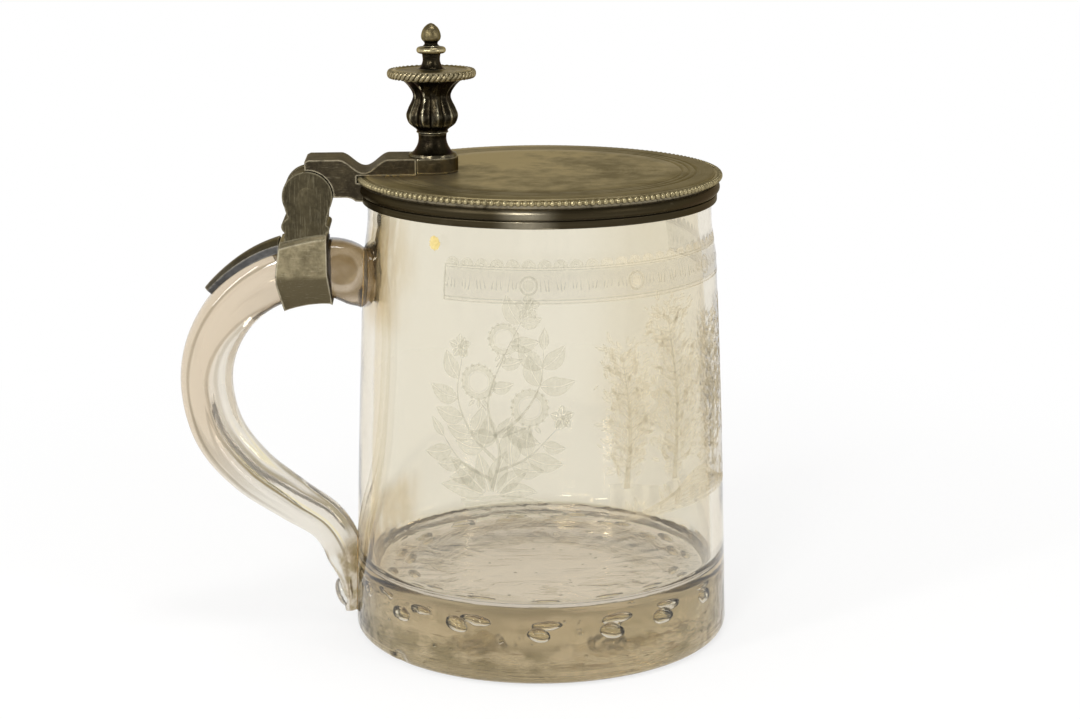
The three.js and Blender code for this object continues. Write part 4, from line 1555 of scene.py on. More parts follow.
@dataclass
class Engraving:
    """Wheel-engraved ornament, drawn flat and laid on the mug: a ribbon band, a fruit spray and foliage."""

    form: MugForm
    lift: float = 0.035
    skin: float = 0.02
    level: float = 70.0
    band_edges: Pair = (97.9, 106.6)
    pitch: float = 4.1
    trees: tuple[tuple[float, ...], ...] = (
        (20.0, 50.0, 34.0, 15.0), (35.0, 50.0, 42.0, 20.0), (54.0, 49.0, 36.0, 20.0),
        (72.0, 48.0, 40.0, 18.0)
    )
    frost: Frost = field(default_factory=lambda: Frost("cut_frost"))
    deep: Frost = field(
        default_factory=lambda: Frost(
            "cut_deep", (0.36, 0.335, 0.23), (0.6, 0.5, 0.3), cover=0.2, stroke=3.0
        )
    )
    faint: Frost = field(default_factory=lambda: Frost("cut_faint", cover=0.06, stroke=1.2))

    def __post_init__(self) -> None:
        """Starts the three sheets, one for each depth of cut."""
        self.sheet = Sheet()
        self.fine = Sheet()
        self.haze = Sheet()
        self.chance = random.Random(11)
        self.taken: set[tuple[int, int, float]] = set()

    def claim(self, spot: Vector, cell: float) -> bool:
        """Takes the small square that a spot is in, and says whether it was free.

        Args:
            spot: the place.
            cell: the width of the squares.

        Returns:
            Whether the square was free.
        """
        key = (round(spot.x / cell), round(spot.y / cell), cell)
        free = key not in self.taken
        self.taken.add(key)
        return free

    def stroke(
        self, points: Sequence[Pair], width: float, sheet: Sheet | None = None, taper: float = 1.0
    ) -> None:
        """Draws a stroke through a few points, thinner towards its end by taper.

        Args:
            points: the points that it goes through.
            width: its width at the start.
            sheet: the sheet that it is drawn on, or None for the main one.
            taper: how much thinner it ends, from 0 to 1.
        """
        line = smooth_line(points, 6)
        half = width / 2
        (sheet or self.sheet).strip(
            line, lambda t: (half * (1 - taper * t * 0.85), -half * (1 - taper * t * 0.85))
        )

    def leaf(self, at: Pair, length: float, width: float, heading: float, bend: float = 0.0) -> None:
        """Draws a leaf of two halves with a clear midrib and a fine cut outline.

        Args:
            at: where its stalk is.
            length: its length.
            width: its width.
            heading: the way it points, in radians.
            bend: how far it bows to the left, as a share.
        """
        direction = Vector((math.cos(heading), math.sin(heading)))
        side = Vector((-direction.y, direction.x))
        base = Vector(at)
        middle = base + direction * length * 0.5 + side * bend * length * 0.25
        tip = base + direction * length + side * bend * length * 0.1
        line = smooth_line([base, middle, tip], 5)

        def edge(t: float) -> float:
            """Half the leaf's width along it."""
            return width / 2 * math.sin(math.pi * t**0.8) + 0.02

        gap = min(0.09, width * 0.05)
        self.sheet.strip(line, lambda t: (max(edge(t), gap + 0.01), gap))
        self.sheet.strip(line, lambda t: (-gap, -max(edge(t), gap + 0.01)))
        self.fine.strip(line, lambda t: (edge(t) + 0.13, edge(t)))

    def disc(self, at: Pair, radius: float, sheet: Sheet | None = None) -> None:
        """Draws a filled round."""
        (sheet or self.sheet).rounds.append((at, radius))

    def ring(
        self, at: Pair, radius: float, width: float, sheet: Sheet | None = None, start: float = 0.0,
        end: float = TAU
    ) -> None:
        """Draws a ring or a part of one.

        Args:
            at: its middle.
            radius: its radius.
            width: the width of its line.
            sheet: the sheet that it is drawn on, or None for the main one.
            start: the angle at which it starts.
            end: the angle at which it ends.
        """
        steps = 22
        line = [Vector(off(at, radius, mix(start, end, i / steps))) for i in range(steps + 1)]
        (sheet or self.sheet).strip(line, lambda t: (width / 2, -width / 2))

    def fruit(self, at: Pair, radius: float) -> None:
        """Draws a round fruit: a frosted ring with a clear middle and small notches round it.

        Args:
            at: its middle.
            radius: its radius.
        """
        self.ring(at, radius * 0.82, radius * 0.34)
        self.ring(at, radius * 0.6, radius * 0.14, self.haze)
        for k in range(16):
            self.disc(off(at, radius * 0.97, TAU * k / 16), radius * 0.09)
        for k in range(3):
            self.leaf(
                (at[0] + (k - 1) * radius * 0.25, at[1] - radius), radius * 0.5, radius * 0.2,
                -math.pi / 2 + (k - 1) * 0.7
            )

    def flower(self, at: Pair, radius: float) -> None:
        """Draws a small five-petalled flower.

        Args:
            at: its middle.
            radius: its radius.
        """
        for k in range(5):
            angle = TAU * k / 5 + 0.3
            self.leaf(off(at, radius * 0.25, angle), radius * 0.8, radius * 0.62, angle)
        self.disc(at, radius * 0.22, self.fine)

    def band(self, start: float, end: float) -> None:
        """Draws the ribbon band with its scalloped upper edge, ticks and polished rounds.

        Args:
            start: where it starts round the mug, in millimetres from the front.
            end: where it ends.
        """
        low, high = self.band_edges
        steps = int((end - start) / 2)
        along = [mix(start, end, i / steps) for i in range(steps + 1)]
        for v, width in ((low, 0.3), (low + 0.8, 0.2), (high - 0.6, 0.2), (high, 0.3)):
            self.fine.strip([Vector((u, v)) for u in along], lambda t, w=width: (w / 2, -w / 2))
        tall, middle = (high - low) / 2, (high + low) / 2
        self.haze.strip([Vector((u, low + tall)) for u in along], lambda t: (tall, -tall))
        self.fine.strip([Vector((start, v)) for v in (low, middle, high)], lambda t: (0.25, -0.25))
        pitch = self.pitch
        for k in range(int((end - start) / pitch)):
            u = start + pitch * (k + 0.5)
            self.ring((u, high), pitch * 0.3, pitch * 0.34, self.sheet, 0.1, math.pi - 0.1)
            if k % 7 == 5:
                self.ring((u, middle), 2.15, 0.5, self.fine)
                self.disc((u, middle), 1.35)
                continue
            for j in range(3):
                x = u + (j - 1) * 1.05 + self.chance.uniform(-0.12, 0.12)
                reach = self.chance.uniform(0.7, 1.5)
                lean = self.chance.uniform(-0.25, 0.25)
                self.stroke(
                    [(x - lean, middle - reach), (x, middle), (x + lean, middle + reach)], 0.36, self.fine
                )

    def spray(self, u: float, v: float) -> None:
        """Draws the fruit spray: bowed branches with paired leaves, three fruits and flowers, and a tuft.

        Args:
            u: the place of the stem's foot round the mug, in millimetres from the front.
            v: its height.
        """
        branches = (
            ((0, 0), (2, 10), (-1, 22), (3, 34), (8, 44)), ((1, 8), (-5, 14), (-9, 23), (-8, 33)),
            ((0.5, 14), (7, 19), (12, 27), (13, 36)), ((1, 5), (9, 9), (16, 16)),
            ((0, 3), (-8, 7), (-13, 13))
        )
        fruits = ((-3.5, 27.5, 4.5), (9.5, 21.5, 4.7), (3.0, 38.5, 4.0))
        for row, branch in enumerate(branches):
            stem = smooth_line([(u + x, v + y) for x, y in branch], 6)
            self.fine.strip(stem, lambda t: (0.4 * (1.15 - t), -0.4 * (1.15 - t)))
            for i in range(3 if row else 8, len(stem) - 1, 3):
                t = i / len(stem)
                ahead = stem[i + 1] - stem[i - 1] if i + 1 < len(stem) else stem[i] - stem[i - 1]
                lie = math.atan2(ahead.y, ahead.x)
                for side in (-1, 1):
                    size = mix(9.5, 6.5, t) * self.chance.uniform(0.75, 1.2)
                    heading = lie - side * self.chance.uniform(0.5, 1.1)
                    middle = stem[i] + Vector((math.cos(heading), math.sin(heading))) * size * 0.55
                    clear = all((middle - Vector((u + x, v + y))).length > r + 1.6 for x, y, r in fruits)
                    if clear and self.claim(middle, 3.6):
                        self.leaf(tuple(stem[i]), size, size * 0.54, heading, -side * 0.4)
            self.leaf(tuple(stem[-1]), 5.5, 2.4, lie)
        for du, dv, radius in fruits:
            self.stroke([(u + du * 0.4, v + dv - 7), (u + du, v + dv - radius)], 0.4, self.fine, 0.4)
            self.fruit((u + du, v + dv), radius)
        for du, dv, radius in ((9.0, 46.5, 3.2), (-8.5, 36.0, 3.0), (17.5, 19.0, 3.0)):
            self.flower((u + du, v + dv), radius)
        for k in range(6):
            angle = math.pi * (0.02 + 0.19 * k)
            size = self.chance.uniform(9.0, 13.0)
            foot = (u + 2 * math.cos(angle), v - 1 + math.sin(angle))
            self.leaf(foot, size, size * 0.42, angle, 0.5 - 0.16 * k)
        for k in range(5):
            line = [(u - 8 + k, v - 3 - 1.2 * k), (u + 5, v - 1.0 - 1.1 * k), (u + 20 - k, v - 4.5 - k)]
            self.stroke(line, 0.8)

    def tree(self, u: float, v: float, tall: float, spread: float) -> None:
        """Draws a tall tuft of foliage: a leaning trunk with fans of narrow leaves.

        Args:
            u: the place of the trunk's foot round the mug, in millimetres from the front.
            v: its height.
            tall: the height of the tuft.
            spread: its width.
        """
        trunk = smooth_line(
            [(u, v), (u + spread * 0.08, v + tall * 0.5), (u - spread * 0.05, v + tall)], 10
        )
        self.fine.strip(trunk, lambda t: (0.8 * (1.05 - t), -0.8 * (1.05 - t)))
        for i, point in enumerate(trunk[2:]):
            t = i / (len(trunk) - 2)
            reach = spread * (0.35 + 0.65 * math.sin(math.pi * (0.18 + 0.74 * t)) ** 0.8) / 2
            for side in (-1, 1):
                heading = math.pi / 2 - side * self.chance.uniform(0.5, 1.3)
                bough = Vector(point) + Vector((math.cos(heading), math.sin(heading))) * reach * 0.85
                self.stroke(
                    [tuple(point), tuple(Vector(point).lerp(bough, 0.5)), tuple(bough)], 0.3, self.fine
                )
                for k in range(13):
                    spread_out = Vector((self.chance.gauss(0, 0.18), self.chance.gauss(0, 0.18))) * reach
                    spot = Vector(point).lerp(bough, 0.15 + 0.075 * k) + spread_out
                    size = self.chance.uniform(1.3, 3.0)
                    turn = self.chance.uniform(-1.0, 1.0)
                    if self.claim(spot, 0.8):
                        self.leaf(tuple(spot), size, size * 0.3, heading + turn)
        rough = [self.chance.uniform(0.25, 0.5) for _ in trunk]
        steps = len(trunk) - 1
        self.haze.strip(
            trunk,
            lambda t: (
                spread * rough[round(t * steps)] * math.sin(math.pi * (0.1 + 0.87 * t)),
                -spread * rough[steps - round(t * steps)] * math.sin(math.pi * (0.1 + 0.87 * t))
            )
        )

    def ground(self, u: float, v: float, wide: float) -> None:
        """Draws a grassy mound of bowed strokes over a pale haze.

        Args:
            u: the place of its middle round the mug.
            v: its height.
            wide: its width.
        """
        crest = [Vector((u + wide * (k / 12 - 0.5) * 1.1, v + 3.5)) for k in range(13)]
        rise = [self.chance.uniform(3.0, 7.0) for _ in crest]
        self.haze.strip(smooth_line(crest, 1), lambda t: (rise[round(t * 12)], -3.5))
        for k in range(8):
            lift = 1.25 * k
            reach = wide / 2 * (1 - 0.08 * k)
            self.stroke(
                [(u - reach, v + lift * 0.4), (u, v + lift), (u + reach, v + lift * 0.4 - 0.6)], 0.75, None,
                0.2
            )
        for k in range(34):
            x = u + self.chance.uniform(-wide / 2, wide / 2)
            y = v + self.chance.uniform(1, 8) * (1 - abs(x - u) / wide)
            size = self.chance.uniform(1.2, 3.2)
            self.leaf((x, y), size, size * 0.26, math.pi / 2 + self.chance.uniform(-0.6, 0.6))

    def laid(self, sheet: Workpiece) -> Workpiece:
        """Lays a flat sheet on the mug's outside and gives it a thickness.

        Args:
            sheet: the flat drawing.

        Returns:
            The thin skin on the mug.
        """

        def wrap(point: Vector, off: float) -> Vector:
            """Where a flat point goes, so far outside the glass.

            Args:
                point: a flat point.
                off: how far outside the glass it goes.

            Returns:
                The point on the mug.
            """
            angle = point.x / self.form.radius(self.level)
            r = self.form.radius(point.y) + off
            return Vector((r * math.sin(angle), -r * math.cos(angle), point.y))

        bmesh.ops.remove_doubles(sheet.bm, verts=sheet.bm.verts, dist=1e-5)
        bmesh.ops.dissolve_degenerate(sheet.bm, edges=sheet.bm.edges, dist=1e-4)
        for face in sheet.bm.faces:
            face.normal_update()
        turned = [f for f in sheet.bm.faces if f.normal.z > 0]
        bmesh.ops.reverse_faces(sheet.bm, faces=turned)
        lower = list(sheet.bm.verts)
        made = bmesh.ops.extrude_face_region(sheet.bm, geom=sheet.bm.faces, use_keep_orig=True)["geom"]
        for v in lower:
            v.co = wrap(v.co, self.lift)
        for v in verts_of(made):
            v.co = wrap(v.co, self.lift + self.skin)
        bmesh.ops.recalc_face_normals(sheet.bm, faces=sheet.bm.faces)
        return sheet

    def build(self) -> None:
        """Draws every motif and lays the three sheets on."""
        self.band(-27.3, 102.0)
        self.spray(-14.0, 50.5)
        for tree in self.trees:
            self.tree(*tree)
        self.ground(46.0, 42.0, 56.0)
        rows = (
            ("engraving_haze", self.haze, self.faint), ("engraving", self.sheet, self.frost),
            ("engraving_deep_cuts", self.fine, self.deep)
        )
        for name, sheet, finish in rows:
            self.laid(sheet.filled()).finish(name, [finish.material()], Body.MUG, "glass", sharp=60)


@dataclass(frozen=True)
class Silver:
    """The finishes that the metal pieces share."""

    # lid top: painted highlights at its back and left
    top: AgedSilver = AgedSilver(
        "lid_top_silver", (0.15, 0.118, 0.055), (0.495, 0.412, 0.25), (0.6, 0.52, 0.34), cover=0.5,
        fade=0.14, rough=0.28, marks=Marks.TURNED, scratches=0.35, patch=0.035, border=(28.0, 43.0),
        painted_highlights=((-8.0, 13.0, 18.0), (-37.0, -6.0, 20.0), (-10.0, 38.0, 34.0))
    )
    # beads: a painted highlight across the front
    beads: AgedSilver = AgedSilver(
        "bead_silver", (0.06, 0.047, 0.022), (0.33, 0.275, 0.15), (0.38, 0.32, 0.18), cover=0.72,
        rough=0.26, scratches=0.1, painted_highlights=((2.0, -46.0, 34.0),)
    )
    # skirt and moulding: a painted highlight a little left of the front
    rim: AgedSilver = AgedSilver(
        "rim_silver", (0.034, 0.026, 0.013), (0.3, 0.265, 0.19), (0.3, 0.26, 0.18), cover=0.78, rough=0.2,
        marks=Marks.TURNED, scratches=0.12, painted_highlights=((-5.0, -46.0, 9.0),)
    )
    # collar band: painted shade on its lower side, below the crease
    mount: AgedSilver = AgedSilver(
        "mount_silver", (0.12, 0.098, 0.056), (0.36, 0.305, 0.185), (0.62, 0.56, 0.41), cover=0.46,
        rough=0.32, scratches=0.35, pits=1.4, edges=Edges.ROUNDED, painted_shade_below=(98.0, 96.2)
    )
    strap: AgedSilver = AgedSilver(
        "strap_silver", (0.06, 0.053, 0.042), (0.16, 0.14, 0.1), (0.45, 0.4, 0.29), cover=0.5, rough=0.3,
        scratches=0.35, edges=Edges.ROUNDED
    )
    arm: AgedSilver = AgedSilver(
        "arm_silver", (0.028, 0.022, 0.014), (0.08, 0.064, 0.037), (0.56, 0.49, 0.34), cover=0.55,
        rough=0.28, scratches=0.25, edges=Edges.ROUNDED
    )
    brushed: AgedSilver = AgedSilver(
        "brushed_silver", (0.028, 0.023, 0.014), (0.088, 0.073, 0.042), (0.33, 0.29, 0.19), cover=0.5,
        rough=0.34, marks=Marks.UPRIGHT, scratches=0.3, edges=Edges.ROUNDED
    )
    dark: AgedSilver = AgedSilver(
        "dark_silver", (0.007, 0.005, 0.003), (0.06, 0.048, 0.026), (0.66, 0.59, 0.4), cover=0.58,
        rough=0.13, scratches=0.15, pits=0.3, rub_and_highlight=(0.507, 0.545)
    )
    block: AgedSilver = AgedSilver(
        "block_silver", (0.012, 0.009, 0.005), (0.1, 0.08, 0.045), (0.56, 0.49, 0.34), cover=0.5,
        rough=0.22, scratches=0.15, edges=Edges.ROUNDED
    )
    rivet: AgedSilver = AgedSilver(
        "rivet_silver", (0.03, 0.025, 0.015), (0.1, 0.083, 0.048), (0.2, 0.17, 0.11), cover=0.5, rough=0.34,
        marks=Marks.UPRIGHT, scratches=0.3, rub_and_highlight=(0.7, 0.8)
    )
    # painted shade and reflection: a greyer, darker copy of the strap's silver, for its flanks
    shaded_flank: AgedSilver = AgedSilver(
        "shaded_flank_silver", (0.055, 0.053, 0.052), (0.12, 0.118, 0.115), (0.34, 0.32, 0.28), cover=0.5,
        rough=0.3, scratches=0.3, edges=Edges.ROUNDED
    )
    bright: AgedSilver = AgedSilver(
        "bright_silver", (0.12, 0.096, 0.045), (0.48, 0.405, 0.235), (0.74, 0.65, 0.43), cover=0.42,
        rough=0.2, scratches=0.15
    )
    worn: AgedSilver = AgedSilver(
        "worn_silver", (0.05, 0.04, 0.018), (0.3, 0.24, 0.125), (0.64, 0.55, 0.35), cover=0.48, rough=0.22,
        scratches=0.2, rub_and_highlight=(0.508, 0.555)
    )


@dataclass
class Collar:
    """The band round the handle with its packing, and the strap that runs down from it."""

    bow: Bow
    silver: Silver
    pin: Vector
    length: float = 13.5
    shift: float = -2.15
    bore: float = 1.0
    wall: float = 0.7
    packing: tuple[float, float] = (0.03, 0.75)
    packing_show: float = 0.3
    strap_length: float = 14.8
    strap_lead: float = 4.0
    strap_wall: Pair = (2.1, 1.9)
    crease: float = 97.3
    strap_width: Pair = (11.2, 4.0)
    strap_side: float = 3.2
    dark_packing: DryDirt = field(
        default_factory=lambda: DryDirt("near_black_packing", (0.035, 0.026, 0.016), (0.15, 0.115, 0.07))
    )

    def sleeve(
        self, section: Sequence[Pair], inner: Sequence[Pair], growths: Pair, ends: Pair, soft: int
    ) -> Workpiece:
        """A tube round the handle between two places along X.

        Args:
            section: the outer outline's right half.
            inner: the inner outline's right half.
            growths: how far the inner and the outer skin lie outside the glass.
            ends: the two places along X.
            soft: how many times the outer outline's corners are cut.

        Returns:
            The closed tube.
        """
        tube = Workpiece()
        for outline, growth, softened in ((inner, growths[0], 2), (section, growths[1], soft)):
            skin = self.bow.upper_skin(outline, growth, False, softened)
            for x, side in zip(ends, (-1, 1)):
                skin.cut_off(x, side)
            tube.add(skin)
        open_edges = [e for e in tube.bm.edges if e.is_boundary]
        rims = [[e for e in open_edges if all(abs(v.co.x - x) < 1e-3 for v in e.verts)] for x in ends]
        for rim in rims:
            bmesh.ops.bridge_loops(tube.bm, edges=rim)
        return tube.cleaned()

    def leaning(self, piece: Workpiece, low: float, high: float) -> Workpiece:
        """Slants the ends of a tube that was cut square: the outer end curls in under the handle.

        Args:
            piece: the tube.
            low: the outer end along X.
            high: the inner end.

        Returns:
            The tube.
        """

        def lean(point: Vector) -> Vector:
            """Moves a point in from the outer end, above and below the crease.

            Args:
                point: a point of the tube.

            Returns:
                Where it goes.
            """
            t = clamp((high - point.x) / (high - low))
            under = max(self.crease - point.z, 0) / 9
            over = max(point.z - self.crease, 0) / 9
            curl = 1.5 * under**1.2 + 1.3 * over
            rise = 0.8 * under**2 * t
            return Vector((point.x + curl * t + 1.1 * under * (1 - t), point.y, point.z + rise))

        return piece.shaped(lean)

    def strap(self, low: float) -> Workpiece:
        """The tapering strap, hollow underneath to fit the handle, cut off at a place along X.

        Args:
            low: the collar's outer end along X.

        Returns:
            The strap, with its flanks and its underside marked for their own finishes.
        """
        bow = self.bow
        steps = 40
        reach = self.strap_lead + self.strap_length
        start = bow.share_at(low) - self.strap_lead / bow.length
        rings = []
        for i in range(steps + 1):
            t = i / steps
            share = start + t * reach / bow.length
            centre, out = bow.at(share)
            half, side = bow.form.size(share)
            top = half + 0.25 + mix(*self.strap_wall, t)
            wide = mix(*self.strap_width, t) / 2
            drop = mix(self.strap_side, 2.9, t)
            right = [
                (0.5 * wide, top), (wide, top - drop * 0.33), (wide, top - drop),
                (0.92 * wide, top - drop - 0.05), (0.6 * wide, half + 0.05)
            ]
            outline = [*right, *[(-y, h) for y, h in reversed(right)]]
            rings.append([centre + out * h + Vector((0.0, y, 0.0)) for y, h in outline])
        piece = Workpiece.lofted(rings)
        bmesh.ops.contextual_create(piece.bm, geom=piece.cut_off(low + 1, 1))
        piece.cleaned()
        for face in piece.bm.faces:
            # the flanks take the painted-shade copy of the strap's silver
            face.material_index = int(abs(face.normal.y) > 0.8)
            if face.normal.dot(Vector((-0.5, 0.0, 0.86))) < -0.3:
                face.material_index = 2
        return piece

    def build(self) -> None:
        """Makes the packing, the band and the strap."""
        form = self.bow.form
        middle = self.pin.x + self.shift
        low, high = middle - self.length / 2, middle + self.length / 2
        ends = (low + 1.8, high + self.packing_show)
        # near-black packing, which shows past the band's inner end as a dark line
        packing = self.leaning(
            self.sleeve(form.glass_section, form.glass_section, self.packing, ends, 2), *ends
        )
        packing.finish("collar_dark_packing", [self.dark_packing.material()], Body.MUG, "packing", ["collar_packing"])
        growths = (self.bore, self.bore + self.wall)
        band = self.leaning(
            self.sleeve(form.band_section, form.glass_section, growths, (low, high), 0), low, high
        )
        band.finish(
            "collar_band", [self.silver.mount.material()], Body.MUG, "mount_metal", ["handle_collar"],
            sharp=30, edge=0.22
        )
        strap = self.strap(low)
        materials = [
            finish.material() for finish in (self.silver.strap, self.silver.shaded_flank, self.silver.mount)
        ]
        strap.finish(
            "handle_strap", materials, Body.MUG, "mount_metal", ["spine_strap"], sharp=30, edge=0.12
        )


@dataclass
class HingeBlock:
    """The neck on the collar with its two ears and the riveted pin."""

    bow: Bow
    silver: Silver
    pin: Vector
    width: float = 14.0
    ear: float = 6.5
    ear_wall: float = 3.1
    depth: float = 16.0
    heel: tuple[float, float, float] = (-5.05, -7.75, 1.85)
    toe: tuple[float, float, float] = (4.5, -8.5, 1.0)
    gap: float = 0.3
    pin_radius: float = 1.6
    head: float = 2.45
    saddle: float = 1.6

    def neck(self) -> list[Pair]:
        """The neck's side: the ear's back, the heel scroll, the foot and the small toe scroll.

        Returns:
            The outline in X and Z.
        """
        ear = self.ear
        back, nape, waist = 0.96 * ear, 0.78 * ear, 0.72 * ear
        heel_x, heel_z, heel = self.heel
        toe_x, toe_z, toe = self.toe
        outline = [(-back, 0.0), *bow((-back, 0.0), (-0.93 * ear, -0.5 * ear), (-nape, -0.83 * ear), 8)]
        outline += arc(heel_x, heel_z, heel, 0.66, 1.3, 12)
        outline += [(-back, -1.7 * ear), (-back, -self.depth), (waist, -self.depth)]
        outline += arc(toe_x, toe_z, toe, -0.45, 0.42, 10)
        outline += bow(outline[-1], (0.74 * ear, -0.9 * ear), (0.8 * ear, -0.7 * ear), 6)
        outline += bow(outline[-1], (0.93 * ear, -0.45 * ear), (back, 0.0), 6)
        return [(self.pin.x + x, self.pin.z + z) for x, z in outline]

    def build(self) -> None:
        """Makes the block with its ears and the pin."""
        half = self.width / 2
        inside = half - self.ear_wall
        block = Workpiece.slab([(x, -half, z) for x, z in self.neck()], (0, self.width, 0))
        block.joined(Workpiece.rod(self.ear, -half, half).on_pin(self.pin), Join.ADD)
        block.joined(Workpiece.rod(self.ear + self.gap, -inside, inside).on_pin(self.pin), Join.CUT)
        block.joined(
            Workpiece.rod(self.pin_radius + 0.05, -half - 1, half + 1, 48).on_pin(self.pin), Join.CUT
        )
        block.joined(self.bow.upper_skin(self.bow.form.band_section, self.saddle, True, 0), Join.CUT)
        block.simplified(0.8)
        block.finish(
            "hinge_neck", [self.silver.brushed.material()], Body.MUG, "mount_metal", ["hinge_block"],
            sharp=34, edge=0.38
        )
        head = self.head
        dome = [
            (0.0, half + 0.14), (head * 0.5, half + 0.12), (head * 0.86, half + 0.06), (head, half + 0.01)
        ]
        side = [*dome, (head, half - 0.15), (self.pin_radius, half - 0.15)]
        pin = Workpiece.turned([*side, *[(r, -z) for r, z in reversed(side)]], 48).on_pin(self.pin)
        pin.finish("hinge_rivet", [self.silver.rivet.material()], Body.MUG, "mount_metal", ["hinge_pin"])


@dataclass
class Arm:
    """The roof over the ears with its knuckle, and the plate that dips onto the lid."""

    silver: Silver
    pin: Vector
    lid_top: float
    lid_edge: float
    skirt_outer: float
    block_back: float
    block_top: float
    width: float = 14.0
    ear: float = 6.5
    ear_wall: float = 3.1
    gap: float = 0.3
    overhang: float = 0.5
    dip: float = 3.4
    dip_length: float = 12.8
    dip_inset: float = 2.3
    web: float = 6.7
    web_lead: float = 2.7
    bore: float = 1.7

    def side(self) -> list[Pair]:
        """The arm's side: the roof, the web down to the skirt, and the plate with its dip.

        Returns:
            The outline in X and Z.
        """
        middle = -(self.lid_edge - self.dip_inset)
        roof = self.pin.x - self.overhang
        under = self.pin.z - self.gap
        outline = [(roof, under), (-(self.lid_edge + self.web_lead), under)]
        outline += bow(
            outline[-1], (-(self.lid_edge + 1), under), (-self.lid_edge, self.lid_top - self.web), 10
        )
        outline += [
            (-(self.skirt_outer - 2), self.lid_top - self.web - 0.3),
            (-(self.skirt_outer - 2), self.lid_top - 0.2), (self.block_back, self.lid_top - 0.2),
            (self.block_back, self.block_top)
        ]
        for i in range(41):
            u = 1 - i / 20
            low = self.dip * (0.5 + 0.5 * math.cos(math.pi * u))
            outline.append((middle + u * self.dip_length / 2, self.block_top - low))
        outline += [(roof + 0.9, self.block_top - 0.02), (roof, self.block_top - self.overhang)]
        return outline

    def build(self) -> None:
        """Makes the arm, cut to the ears, the pin and the lid's rim."""
        half = self.width / 2
        knuckle = half - self.ear_wall - self.gap
        arm = Workpiece.slab([(x, -half, z) for x, z in self.side()], (0, self.width, 0))
        for low, high in ((-half - 1, -knuckle), (knuckle, half + 1)):
            arm.joined(Workpiece.rod(self.ear + self.gap, low, high).on_pin(self.pin), Join.CUT)
        arm.joined(Workpiece.rod(self.ear - self.gap, -knuckle, knuckle).on_pin(self.pin), Join.ADD)
        arm.joined(Workpiece.rod(self.bore, -half - 1, half + 1, 48).on_pin(self.pin), Join.CUT)
        arm.joined(
            Workpiece.rod(self.lid_edge + 0.12, self.lid_top - 1.95, self.lid_top - 0.1, 192), Join.CUT
        )
        arm.joined(Workpiece.rod(self.skirt_outer, 50, self.lid_top - 1.9, 192), Join.CUT)
        arm.simplified(0.8)
        arm.finish(
            "lid_arm_silver", [self.silver.arm.material()], Body.LID, "mount_metal", ["lid_arm"], sharp=34,
            edge=0.34
        )


